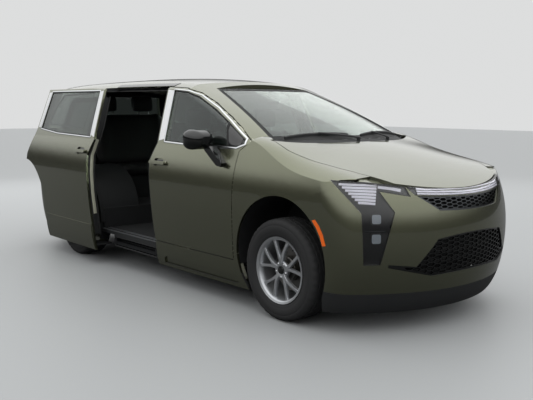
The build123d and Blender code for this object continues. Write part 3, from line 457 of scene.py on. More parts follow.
class Shell:
    """The outer surface of some CAD nodes, for laying trims on it."""

    # Starts of the rays, outside the vehicle: beside, ahead or behind, and above
    BESIDE, BEYOND, ABOVE = 1.4, 3.2, 2.4

    def __init__(self, nodes: Iterable[bpy.types.Object]) -> None:
        """Builds the search tree of the nodes' meshes."""
        verts: list[Vector] = []
        faces: list[tuple[int, ...]] = []
        for node in nodes:
            start = len(verts)
            verts += [v.co.copy() for v in node.data.vertices]
            faces += [tuple(start + i for i in p.vertices) for p in node.data.polygons]
        self.tree = BVHTree.FromPolygons(verts, faces)

    def hit(self, start: Vector, along: Vector) -> Optional[tuple[Vector, Vector]]:
        """First point and outward normal that a ray meets, or None."""
        point, normal = self.tree.ray_cast(start, along)[:2]
        if point is None:
            return None
        return point, (-normal if normal.dot(along) > 0 else normal)

    def beside(self, x: float, z: float, side: Side) -> Optional[tuple[Vector, Vector]]:
        """Point of the side at a length and a height."""
        return self.hit(Vector((x, side.value * self.BESIDE, z)), Vector((0, -side.value, 0)))

    def ahead(self, y: float, z: float) -> Optional[tuple[Vector, Vector]]:
        """Point of the front at a width and a height."""
        return self.hit(Vector((self.BEYOND, y, z)), -FORWARD)

    def above(self, x: float, y: float) -> Optional[tuple[Vector, Vector]]:
        """Point of the top at a length and a width."""
        return self.hit(Vector((x, y, self.ABOVE)), -UP)


@dataclass
class Studio:
    """Floor, soft lights and the photograph's camera.

    Attributes:
        position: The camera's place.
        yaw: Direction of its view from +Y towards -X, in degrees.
        pitch: How far it looks down, in degrees.
        roll: How far it is turned about its view, in degrees.
        focal_px: Its focal length in the photograph's pixels.
        width_px: The photograph's width in pixels.
        sensor: Its sensor's width in millimetres.
    """

    position: tuple[float, float, float] = (5.3475, -4.3530, 1.5224)
    yaw: float = 48.77
    pitch: float = 7.38
    roll: float = 0.35
    focal_px: float = 725.66
    width_px: float = 533.0
    sensor: float = 36.0

    def build(self) -> None:
        """Makes the stage."""
        self.camera()
        self.floor()
        self.lights()
        self.world()

    def camera(self) -> None:
        """Places the camera that was fitted to the photograph."""
        data = bpy.data.cameras.new("camera")
        data.sensor_width = self.sensor
        data.lens = self.focal_px / self.width_px * self.sensor
        data.clip_end = 200.0
        camera = bpy.data.objects.new("camera", data)
        bpy.context.scene.collection.objects.link(camera)
        yaw, pitch, roll = (math.radians(a) for a in (self.yaw, self.pitch, self.roll))
        forward = Vector((-math.sin(yaw) * math.cos(pitch), math.cos(yaw) * math.cos(pitch),
                          -math.sin(pitch)))
        right = Vector((math.cos(yaw), math.sin(yaw), 0))
        up = right.cross(forward)
        turned = right * math.cos(roll) + up * math.sin(roll)
        up = turned.cross(forward)
        rows = Matrix((turned, up, -forward)).transposed().to_4x4()
        camera.matrix_world = Matrix.Translation(Vector(self.position)) @ rows
        bpy.context.scene.camera = camera

    def floor(self) -> None:
        """Lays a plain pale floor."""
        shape = bmesh.new()
        bmesh.ops.create_grid(shape, x_segments=1, y_segments=1, size=40)
        mesh = bpy.data.meshes.new("floor")
        shape.to_mesh(mesh)
        shape.free()
        floor = bpy.data.objects.new("floor", mesh)
        bpy.context.scene.collection.objects.link(floor)
        floor.data.materials.append(self.coat())

    def coat(self) -> bpy.types.Material:
        """Makes the floor's finish: pale to the camera, and a darker grey to gloss paint as painted
        shade.
        """
        made = FLOOR_COAT.material()
        tree = made.node_tree
        # The darker grey that glossy rays see is painted shade in the paint's reflection of the
        # floor.
        seen = add_node(tree, "ShaderNodeLightPath")
        tone = add_node(tree, "ShaderNodeMix", {"Factor": seen.outputs["Is Glossy Ray"]},
                        data_type="RGBA", in_6=linear("#9A9C9D"), in_7=linear("#222425"))
        tree.links.new(tone.outputs[2], tree.nodes["Principled BSDF"].inputs["Base Color"])
        return made

    def lights(self) -> None:
        """Hangs the soft lamps: a wide one above and one at each end."""
        # Name, place, target, width, height and power
        rows = (
            ("top", (0.4, -0.6, 5.2), (0, 0, 0.6), 7.0, 3.0, 30.0),
            ("side", (1.5, -7.5, 4.2), (0.2, 0, 0.9), 8.0, 2.4, 70.0),
            ("front", (8.5, 1.5, 3.4), (1.5, 0, 0.8), 5.0, 3.0, 110.0),
            ("left", (-4.2, 7.4, 4.9), (1.2, 0, 1.1), 8.5, 4.0, 160.0),
            ("rear", (-8.5, 0.0, 3.4), (-1.5, 0, 0.9), 5.0, 3.0, 100.0),
        )
        for name, place, target, width, height, power in rows:
            data = bpy.data.lights.new(name, "AREA")
            data.shape = "RECTANGLE"
            data.size, data.size_y, data.energy = width, height, power
            lamp = bpy.data.objects.new(name, data)
            bpy.context.scene.collection.objects.link(lamp)
            lamp.location = place
            lamp.visible_glossy = False
            aim = Vector(target) - Vector(place)
            lamp.rotation_euler = aim.to_track_quat("-Z", "Y").to_euler()

    def world(self) -> None:
        """Sets the plain pale room that gloss and glass reflect."""
        world = bpy.data.worlds.new("room")
        bpy.context.scene.world = world
        world.use_nodes = True
        tree = world.node_tree
        shade_node = tree.nodes["Background"]
        shade_node.inputs["Color"].default_value = linear("#F1F2F2")
        place = add_node(tree, "ShaderNodeTexCoord")
        parts = add_node(tree, "ShaderNodeSeparateXYZ", {0: place.outputs["Generated"]})
        # A pale wall above a darker skirting, as gloss paint shows it along the sides.
        wall, ceiling = (
            add_node(tree, "ShaderNodeMapRange", {0: parts.outputs["Z"]}, in_1=low, in_2=high,
                     in_3=dark, in_4=bright, interpolation_type="SMOOTHSTEP")
            for low, high, dark, bright in ((0.07, 0.27, 0.05, 1.15), (0.30, 0.85, 0.0, 0.5)))
        both = add_node(tree, "ShaderNodeMath", {0: wall.outputs[0], 1: ceiling.outputs[0]},
                        operation="ADD")
        seen = add_node(tree, "ShaderNodeLightPath")
        level = add_node(tree, "ShaderNodeMix", {0: seen.outputs["Is Camera Ray"],
                                                 2: both.outputs[0]}, in_3=0.82)
        tree.links.new(level.outputs[0], shade_node.inputs["Strength"])


@dataclass
class Wheel:
    """One tyre on its alloy wheel, turned and cut about the axle.

    Attributes:
        end: Front or rear, as the node names say.
        side: Its side of the vehicle.
        axle_x: Place of the axle along the vehicle.
        axle_z: Height of the axle.
        centre_y: Distance of the wheel's middle from the vehicle's.
        spoke_pairs: Number of pairs of spokes.
        steps: Steps round the tyre.
        tread: The tread of the tyre's section, as (radius, distance from the middle).
        wall: Its sidewall down to the bead.
        rim: Section of the rim, as (radius, distance outward).
        hub: The same of the hub's face.
        cap: The same of the centre cap.
        disc: The same of the brake disc's ring.
        bell: The same of the disc's bell.
        nut: Distance from the axle, radius, inner end and outer end of a wheel nut.
        valve: The same of the valve.
        first_nut: Direction of the first nut and of the valve, in degrees.
    """

    end: str
    side: Side
    axle_x: float
    axle_z: float = 0.3685
    centre_y: float = 0.8675
    spoke_pairs: int = 5
    steps: int = 160
    tread: tuple[Point, ...] = (
        (0.3685, 0.004), (0.3685, 0.021), (0.3610, 0.023), (0.3610, 0.030), (0.3682, 0.032),
        (0.3678, 0.056), (0.3600, 0.058), (0.3600, 0.065), (0.3668, 0.067), (0.3650, 0.084),
        (0.3590, 0.097), (0.3500, 0.106))
    wall: tuple[Point, ...] = (
        (0.3400, 0.1105), (0.3250, 0.1145), (0.3220, 0.1135), (0.3180, 0.1155), (0.3020, 0.1172),
        (0.2860, 0.1165), (0.2720, 0.1130), (0.2640, 0.1090), (0.2600, 0.1095), (0.2540, 0.1060),
        (0.2480, 0.1000), (0.2420, 0.0990), (0.2415, 0.0955), (0.2300, 0.0955))
    rim: tuple[Point, ...] = (
        (0.2050, -0.088), (0.2050, 0.052), (0.2085, 0.068), (0.2130, 0.079), (0.2165, 0.090),
        (0.2215, 0.0985), (0.2290, 0.1015), (0.2370, 0.1035), (0.2405, 0.1050), (0.2408, 0.1000),
        (0.2330, 0.0985), (0.2280, 0.0940), (0.2280, -0.094), (0.2405, -0.097), (0.2405, -0.104),
        (0.2300, -0.104), (0.2160, -0.100))
    hub: tuple[Point, ...] = (
        (0.030, 0.050), (0.062, 0.050), (0.066, 0.072), (0.060, 0.081), (0.042, 0.083),
        (0.034, 0.079), (0.030, 0.079))
    cap: tuple[Point, ...] = (
        (0.0005, 0.070), (0.0310, 0.070), (0.0310, 0.080), (0.0270, 0.0865), (0.0120, 0.0895),
        (0.0005, 0.0900))
    disc: tuple[Point, ...] = (
        (0.088, -0.020), (0.163, -0.020), (0.163, -0.028), (0.105, -0.028), (0.105, -0.037),
        (0.163, -0.037), (0.163, -0.045), (0.088, -0.045))
    bell: tuple[Point, ...] = (
        (0.034, -0.044), (0.092, -0.044), (0.092, 0.028), (0.086, 0.033), (0.058, 0.033),
        (0.058, 0.050), (0.034, 0.050))
    nut: Point = (0.0505, 0.0095, 0.060, 0.088)
    valve: Point = (0.192, 0.004, 0.052, 0.082)
    first_nut: float = 54.0

    @property
    def body(self) -> str:
        """Name of the CAD body that the wheel's pieces ride on."""
        return f"wheel_{self.end}_{self.side.word}"

    def place(self, radius: float, out: float, angle: float) -> Vector:
        """Point of the wheel from its radius, its distance outward and its angle in radians."""
        return Vector((self.axle_x + radius * math.cos(angle),
                       self.side.value * (self.centre_y + out),
                       self.axle_z + radius * math.sin(angle)))

    def lathe(self, shape: bmesh.types.BMesh, profile: Sequence[Point], steps: int,
              cut: Optional[Callable[[int, int], float]] = None) -> None:
        """Turns a closed profile about the axle.

        Args:
            shape: The mesh to add to.
            profile: Its points as (radius, distance outward).
            steps: Number of steps round the turn.
            cut: Gives how far a point sinks, from its step and its place in the profile.
        """
        rings = []
        for step in range(steps):
            angle = 2 * math.pi * step / steps
            rings.append([shape.verts.new(self.place(
                radius - (cut(step, i) if cut else 0.0), out, angle))
                for i, (radius, out) in enumerate(profile)])
        join_rows(shape, rings, closed=True)

    def tyre(self) -> None:
        """Builds the tyre with its grooves, its cross cuts and its stepped sidewalls."""
        half = [*self.tread, *self.wall]
        profile = half + [(radius, -out) for radius, out in reversed(half)]
        land = {i for i, (radius, out) in enumerate(profile) if radius > 0.3625}
        shoulder = {i for i, (radius, out) in enumerate(profile)
                    if abs(out) > 0.066 and radius > 0.349}

        def cut(step: int, index: int) -> float:
            """Depth of the cross cuts: every fourth step, offset between shoulder and middle."""
            phase = 0 if index in shoulder else 2
            return 0.0045 if index in land | shoulder and step % 4 == phase else 0.0

        shape = bmesh.new()
        self.lathe(shape, profile, self.steps, cut)
        name = f"tyre_{self.end}_{self.side.word}"
        piece = make_piece(f"{name}_tread", shape, RUBBER, self.body, SEAM_ANGLE)
        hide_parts(name)

    def spoke(self, shape: bmesh.types.BMesh, angle: float, lean: int) -> None:
        """Adds one spoke of a pair: it leaves the hub beside its twin and opens to the rim.

        Args:
            shape: The mesh to add to.
            angle: Direction of the pair, in radians.
            lean: Which of the two it is, -1 or 1.
        """
        # Radius, offset from the pair's middle in degrees, half width in mm, face and depth
        stations = ((0.040, 2.0, 13.0, 0.084, 0.030), (0.070, 4.5, 13.0, 0.090, 0.030),
                    (0.105, 9.0, 11.5, 0.0915, 0.028), (0.145, 13.5, 10.5, 0.0910, 0.026),
                    (0.185, 16.6, 11.0, 0.0890, 0.024), (0.2065, 18.0, 13.5, 0.0870, 0.022),
                    (0.2180, 18.3, 15.0, 0.0860, 0.018))
        rings = []
        for radius, offset, half, face, depth in stations:
            middle = angle + lean * math.radians(offset)
            turn = half * MM / radius
            ring = []
            for share, drop in ((-1.0, depth), (-1.0, 0.006), (-0.72, 0.0), (0.72, 0.0),
                                (1.0, 0.006), (1.0, depth)):
                ring.append(shape.verts.new(self.place(radius, face - drop, middle + share * turn)))
            rings.append(ring)
        join_rows(shape, rings, capped=True)

    def stud(self, shape: bmesh.types.BMesh, sizes: Point, angle: float, sides: int) -> None:
        """Adds a capped prism on the wheel's face, such as a wheel nut.

        Args:
            shape: The mesh to add to.
            sizes: Its distance from the axle, radius, inner end and outer end.
            angle: Its direction from the axle, in degrees.
            sides: Its number of sides.
        """
        radius, size, low, high = sizes
        centre = self.place(radius, 0, math.radians(angle))
        rings = []
        for out, share in ((low, 1.0), (high - 0.003, 1.0), (high, 0.78)):
            ring = []
            for i in range(sides):
                turn = 2 * math.pi * i / sides
                ring.append(shape.verts.new((centre.x + size * share * math.cos(turn),
                                             self.side.value * (self.centre_y + out),
                                             centre.z + size * share * math.sin(turn))))
            rings.append(ring)
        join_rows(shape, rings, capped=True)

    def alloy(self) -> None:
        """Builds the cast wheel: rim, five pairs of spokes, hub, nuts, cap and valve."""
        shape = bmesh.new()
        self.lathe(shape, self.rim, 120)
        self.lathe(shape, self.hub, 72)
        turn = 360 / self.spoke_pairs
        for pair in range(self.spoke_pairs):
            for lean in (-1, 1):
                self.spoke(shape, math.radians(90 + turn * pair), lean)
        name = f"wheel_{self.end}_{self.side.word}"
        body = self.body
        piece = make_piece(f"{name}_casting", shape, ALLOY, body, 38)
        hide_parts(name)
        nuts = bmesh.new()
        for pair in range(self.spoke_pairs):
            self.stud(nuts, self.nut, self.first_nut + turn * pair, 6)
        make_piece(f"{name}_nuts", nuts, CHROME, body, 25)
        cap = bmesh.new()
        self.lathe(cap, self.cap, 48)
        make_piece(f"{name}_cap", cap, GLOSS_BLACK, body, SEAM_ANGLE)
        valve = bmesh.new()
        self.stud(valve, self.valve, self.first_nut, 10)
        make_piece(f"{name}_valve", valve, RUBBER, body, SEAM_ANGLE)
        disc = bmesh.new()
        self.lathe(disc, self.disc, 96)
        self.lathe(disc, self.bell, 72)
        make_piece(f"{name}_disc", disc, DISC, body, 30)

    def build(self) -> None:
        """Builds the wheel's pieces."""
        self.tyre()
        self.alloy()


def mm(points: Iterable[Point]) -> list[tuple[float, ...]]:
    """Turns rows of millimetres to metres."""
    return [tuple(c * MM for c in point) for point in points]


def grown(points: Sequence[Point], amount: float) -> list[tuple[float, float]]:
    """Moves each side of a closed outline outward by an amount.

    Args:
        points: Corners (x, z) of the outline.
        amount: Distance outward, or inward where it is negative.

    Returns:
        The corners of the moved outline.
    """
    area = sum(a[0] * b[1] - b[0] * a[1] for a, b in zip(points, [*points[1:], points[0]]))
    sign = 1 if area > 0 else -1
    out = []
    for i, point in enumerate(points):
        before, after = Vector(points[i - 1]), Vector(points[(i + 1) % len(points)])
        here = Vector(point)
        one, two = (here - before).normalized(), (after - here).normalized()
        normal_one, normal_two = Vector((one.y, -one.x)) * sign, Vector((two.y, -two.x)) * sign
        middle = (normal_one + normal_two).normalized()
        reach = amount / max(0.35, middle.dot(normal_one))
        out.append(tuple(here + middle * reach))
    return out


@dataclass
class Trims:
    """Strips, panels and seals that lie on the body's skin.

    Attributes:
        shell: The skin that they lie on.
        mirrored: Whether the right side is taken from the left.
    """

    shell: Shell
    mirrored: bool = False

    def spot(self, x: float, z: float, side: Side) -> Optional[tuple[Vector, Vector]]:
        """Point and normal of the skin, taken from the other side where this one is hidden."""
        found = self.shell.beside(x, z, Side.LEFT if self.mirrored else side)
        if found and self.mirrored and side is Side.RIGHT:
            turn = Matrix.Diagonal((1, -1, 1))
            return turn @ found[0], turn @ found[1]
        return found

    def strip(self, shape: bmesh.types.BMesh, points: Sequence[Point], side: Side, width: float,
              height: float, closed: bool = False, sink: float = 0.001, step: float = 0.03) -> None:
        """Lays a rounded strip along points (x, z) of one side."""
        line = [*points, points[0]] if closed else list(points)
        places = resampled(line, step)
        if closed:
            places = places[:-1]
        path, ups = [], []
        for x, z in places:
            found = self.spot(x, z, side)
            if found:
                path.append(found[0] - found[1] * sink)
                ups.append(found[1])
        if len(path) > 2:
            profile = rounded_rectangle(width, height + sink, height * 0.45, 2)
            sweep(shape, path, ups, profile, closed)

    def cover(self, shape: bmesh.types.BMesh, rows: Sequence[tuple[Point, Point]], side: Side,
              columns: int = 5, lift: float = 0.0015, step: float = 0.05) -> None:
        """Lays a thin panel over the skin between two lines of one side.

        Args:
            shape: The mesh to add to.
            rows: Pairs of points (x, z), one on each line, in order along the panel.
            side: The side of the vehicle.
            columns: Points across the panel.
            lift: How far it stands off the skin.
            step: Largest distance between rows.
        """
        flat = resampled([(*a, *b) for a, b in rows], step)
        grid = []
        for row in flat:
            one, two = row[:2], row[2:]
            line = []
            for i in range(columns):
                t = i / (columns - 1)
                found = self.spot(one[0] + (two[0] - one[0]) * t,
                                  one[1] + (two[1] - one[1]) * t, side)
                if not found:
                    return
                line.append((found[0] + found[1] * lift, found[0] - found[1] * 0.001))
            grid.append(line)
        tops = [[shape.verts.new(p) for p, _ in line] for line in grid]
        join_rows(shape, tops, around=False)
        edge = ([(i, 0) for i in range(len(grid))] + [(len(grid) - 1, j) for j in range(1, columns)]
                + [(i, columns - 1) for i in range(len(grid) - 2, -1, -1)]
                + [(0, j) for j in range(columns - 2, 0, -1)])
        feet = {key: shape.verts.new(grid[key[0]][key[1]][1]) for key in edge}
        for i, key in enumerate(edge):
            after = edge[(i + 1) % len(edge)]
            shape.faces.new((tops[key[0]][key[1]], tops[after[0]][after[1]],
                             feet[after], feet[key]))


def pairs(rows: Iterable[Point], back: float = 0.0) -> list[tuple[Point, Point]]:
    """Turns rows (x, z, x, z) of millimetres to pairs of points, moved back along the vehicle."""
    return [((x0 * MM - back, z0 * MM), (x1 * MM - back, z1 * MM)) for x0, z0, x1, z1 in rows]


@dataclass
class SideTrim:
    """What lies on one side: window surrounds, pillar covers, door skirt, markers and seals.

    Attributes:
        trims: Layer of strips and covers on the closed skin.
        door_trims: Layer on the sliding doors.
        hidden_trims: Layer for what the open door hides, taken from the other side.
        side: Its side of the vehicle.
        slide: How far the sliding door stands back.
        bright: Width and height of the bright strips.
        seal: Width and height of the rubber lips inside them.
        front_window: Outline (x, z) of the front door's window, in millimetres.
        sliding_window: The same of the sliding door's window.
        quarter_window: The same of the quarter window.
        divider: Ends of the bar that divides the front door's window.
    """

    trims: Trims
    door_trims: Trims
    hidden_trims: Trims
    side: Side
    slide: float = 0.0
    bright: Point = (0.015, 0.0035)
    seal: Point = (0.010, 0.0022)
    front_window: tuple[Point, ...] = (
        (1150, 1244), (1140, 1268), (882, 1395), (667, 1491), (391, 1595), (233, 1634), (44, 1648),
        (120, 1228), (640, 1214), (1075, 1218))
    sliding_window: tuple[Point, ...] = (
        (-92, 1232), (-160, 1648), (-1218, 1648), (-1222, 1280), (-800, 1246))
    quarter_window: tuple[Point, ...] = (
        (-1420, 1290), (-1420, 1640), (-2130, 1618), (-2240, 1480), (-2300, 1340), (-2230, 1312))
    divider: tuple[Point, ...] = ((893, 1386), (968, 1220))

    def piece(self, name: str, shape: bmesh.types.BMesh, finish: Finish, body: str,
              slot: str) -> None:
        """Makes a piece, named for its side."""
        make_piece(f"{name}_{self.side.word}", shape, finish, body, SEAM_ANGLE)

    def lay(self, name: str, finish: Finish, body: str, slot: str, layer: Trims,
            *panels: Sequence[Point], moved: bool = False, **sizes) -> None:
        """Lays a piece of one or more panels.

        Args:
            name: The piece's name.
            finish: Its finish.
            body: The CAD body that it rides on.
            slot: Name of a material slot; it is not used.
            layer: What lays it on the skin.
            panels: For each panel, rows (x, z, x, z) of millimetres.
            moved: Whether the panels stand back with the open door.
            sizes: Columns, lift and step of the panels.
        """
        shape = bmesh.new()
        for rows in panels:
            layer.cover(shape, pairs(rows, self.slide if moved else 0.0), self.side, **sizes)
        self.piece(name, shape, finish, body, slot)

    def surrounds(self) -> None:
        """Lays the bright strips and the inner seals around the windows."""
        door = f"front_door_{self.side.word}"
        rows = (("front_door", mm(self.front_window), door, self.trims, CHROME),
                ("sliding_door", [(x - self.slide, z) for x, z in mm(self.sliding_window)], "root",
                 self.door_trims, CHROME),
                ("quarter", mm(self.quarter_window), "root", self.hidden_trims, GLOSS_BLACK))
        for name, outline, body, layer, finish in rows:
            bright = bmesh.new()
            layer.strip(bright, grown(outline, 0.013), self.side, *self.bright, True)
            self.piece(f"{name}_surround", bright, finish, body, "alloy")
            seal = bmesh.new()
            layer.strip(seal, grown(outline, 0.0025), self.side, *self.seal, True)
            self.piece(f"{name}_seal", seal, SEAL, body, "rubber")

    def pillars(self) -> None:
        """Covers the door frames beside the pillars, and the sail in the front window's corner."""
        door = f"front_door_{self.side.word}"
        self.lay("front_door_pillar_cover", SATIN_CHROME, door, "alloy", self.trims,
                 ((107, 1240, 22, 1222), (26, 1652, -62, 1660)))
        self.lay("sail_cover", GLOSS_BLACK, door, "gloss_black", self.trims,
                 ((905, 1376, 975, 1226), (1118, 1276, 1118, 1226)), lift=0.003, step=0.03)
        shape = bmesh.new()
        self.trims.strip(shape, mm(self.divider), self.side, 0.020, 0.006)
        self.piece("window_divider", shape, SEAL, door, "rubber")
        self.lay("sliding_door_pillar_cover", SATIN_CHROME, "root", "alloy", self.door_trims,
                 ((-9, 1222, -79, 1240), (-91, 1660, -146, 1652)),
                 ((-1236, 1286, -1306, 1280), (-1233, 1652, -1302, 1652)), moved=True)
        self.lay("quarter_pillar_cover", PILLAR_GLOSS, "root", "gloss_black", self.hidden_trims,
                 ((-1400, 1284, -1345, 1284), (-1402, 1650, -1345, 1650)), columns=4)

    def markers(self) -> None:
        """Sets the amber side marker ahead of the front arch and the red one behind the rear."""
        self.lay("side_marker", AMBER_LENS, "root", "red_lens", self.trims,
                 ((1984, 777, 1956, 768), (2024, 734, 1996, 724), (2056, 680, 2028, 671),
                  (2078, 612, 2050, 606)), columns=4, lift=0.003, step=0.02)
        self.lay("rear_marker", RED_LENS, "root", "red_lens", self.hidden_trims,
                 ((-2110, 540, -2250, 540), (-2110, 575, -2250, 575)),
                 columns=6, lift=0.003, step=0.02)

    def build(self) -> None:
        """Builds the side's pieces, with the painted skirt over the foot of the sliding door."""
        self.surrounds()
        self.lay("sliding_door_skirt", PAINT, "root", "olive_paint", self.door_trims,
                 ((-972, 158, -972, 398), (40, 158, 30, 398)), moved=True, columns=7, lift=0.005)
        self.pillars()
        self.markers()


@dataclass
class LampAim:
    """Rays along the direction that a headlamp faces.

    Attributes:
        side: The lamp's side of the vehicle.
    """

    side: Side

    @property
    def facing(self) -> Vector:
        """Direction that the lamp faces."""
        return Vector((math.sin(LAMP_BEARING), self.side.value * math.cos(LAMP_BEARING), 0))

    def look(self, shell: Shell, u: float, z: float) -> Optional[tuple[Vector, Vector]]:
        """What a shell shows at a place across the lamp and a height."""
        across = Vector((math.cos(LAMP_BEARING), -self.side.value * math.sin(LAMP_BEARING), 0))
        return shell.hit(self.facing * Shell.BEYOND + across * u + Vector((0, 0, z)), -self.facing)


@dataclass
class Lamp(LampAim):
    """Inside of one headlamp, set in its lens: light guides, projectors and bezel.

    Attributes:
        shell: The lens' outer surface.
        rows: Number of light guides across the upper part.
        top: Height of the first guide's outer end.
        pitch: Distance between guides.
        left: Place of the first guide's outer end.
        shift: How far each guide starts further in than the one above.
        projectors: Heights of the projectors.
        projector_u: Place of the projectors across the lamp.
        guide: Width, depth behind the lens and height of a guide.
        side_guide: Points (across, height) of the wider guide towards the vehicle's side.
        brow: Points of the bezel's line above the guides.
        foot: Points of the bezel's line above the lower projector.
        box: Side of a projector's housing.
        glass: Side of its glass.
        sunk: How far its housing lies behind the lens.
    """

    shell: Shell
    rows: int = 7
    top: float = 1.024
    pitch: float = 0.0195
    left: float = 0.716
    shift: float = 0.021
    projectors: tuple[float, ...] = (0.800, 0.672)
    projector_u: float = 0.962
    guide: Point = (0.0165, 0.0165, 0.004)
    side_guide: tuple[Point, ...] = ((0.975, 1.008), (1.060, 0.996), (1.130, 0.982))
    brow: tuple[Point, ...] = ((0.700, 1.036), (0.886, 1.027), (1.140, 0.996))
    foot: tuple[Point, ...] = ((0.885, 0.722), (0.950, 0.720), (1.020, 0.718))
    box: float = 0.076
    glass: float = 0.060
    sunk: float = 0.015

    def bar(self, shape: bmesh.types.BMesh, ends: Sequence[Point], width: float, depth: float,
            height: float, step: float = 0.02) -> None:
        """Adds a rounded bar behind the lens along points (across, height)."""
        found = [self.look(self.shell, u, z) for u, z in resampled(ends, step)]
        path = [hit[0] - hit[1] * depth for hit in found if hit]
        if len(path) > 2:
            sweep(shape, path, [hit[1] for hit in found if hit],
                  rounded_rectangle(width, height, height * 0.4, 2))

    def build(self) -> None:
        """Builds the lamp's pieces."""
        name = self.side.word
        guides = bmesh.new()
        for row in range(self.rows):
            z = self.top - row * self.pitch
            left = self.left + row * self.shift
            self.bar(guides, [(left, z), (0.5 * (left + 0.965), z - 0.004),
                              (0.968 - row * 0.002, z - 0.008)], *self.guide)
        self.bar(guides, self.side_guide, 0.024, *self.guide[1:])
        make_piece(f"lamp_guides_{name}", guides, LIGHT_GUIDE, "root", SEAM_ANGLE)
        bezel = bmesh.new()
        self.bar(bezel, self.brow, 0.004, 0.008, 0.003)
        self.bar(bezel, self.foot, 0.003, 0.008, 0.003)
        make_piece(f"lamp_bezel_{name}", bezel, SMOKED_CHROME, "root", SEAM_ANGLE)
        boxes, lens = bmesh.new(), bmesh.new()
        for hit in (self.look(self.shell, self.projector_u, z) for z in self.projectors):
            if not hit:
                continue
            point, normal = hit[0] - hit[1] * self.sunk, hit[1]
            for shape, size, start, end in ((boxes, self.box, 0, 0.004),
                                            (lens, self.glass, 0.004, 0.008)):
                sweep(shape, [point + normal * start, point + normal * end], UP,
                      rounded_rectangle(size, size, size * 0.2, 3, -size / 2))
        make_piece(f"lamp_boxes_{name}", boxes, LAMP_HOUSING, "root", SEAM_ANGLE)
        make_piece(f"lamp_projectors_{name}", lens, DARK_GLASS, "root", SEAM_ANGLE)


def face_finishes(node: bpy.types.Object, finishes: Sequence[Finish],
                  choose: Callable[[Vector, Vector], int]) -> None:
    """Gives a CAD node several finishes, face by face.

    Args:
        node: The CAD node.
        finishes: Its finishes.
        choose: Gives a finish's place in the list from a face's centre and normal.
    """
    node.data.materials.clear()
    for finish in finishes:
        node.data.materials.append(finish.material())
    for face in node.data.polygons:
        face.material_index = choose(face.center, face.normal)
    smooth(node, EDGE_ANGLE)


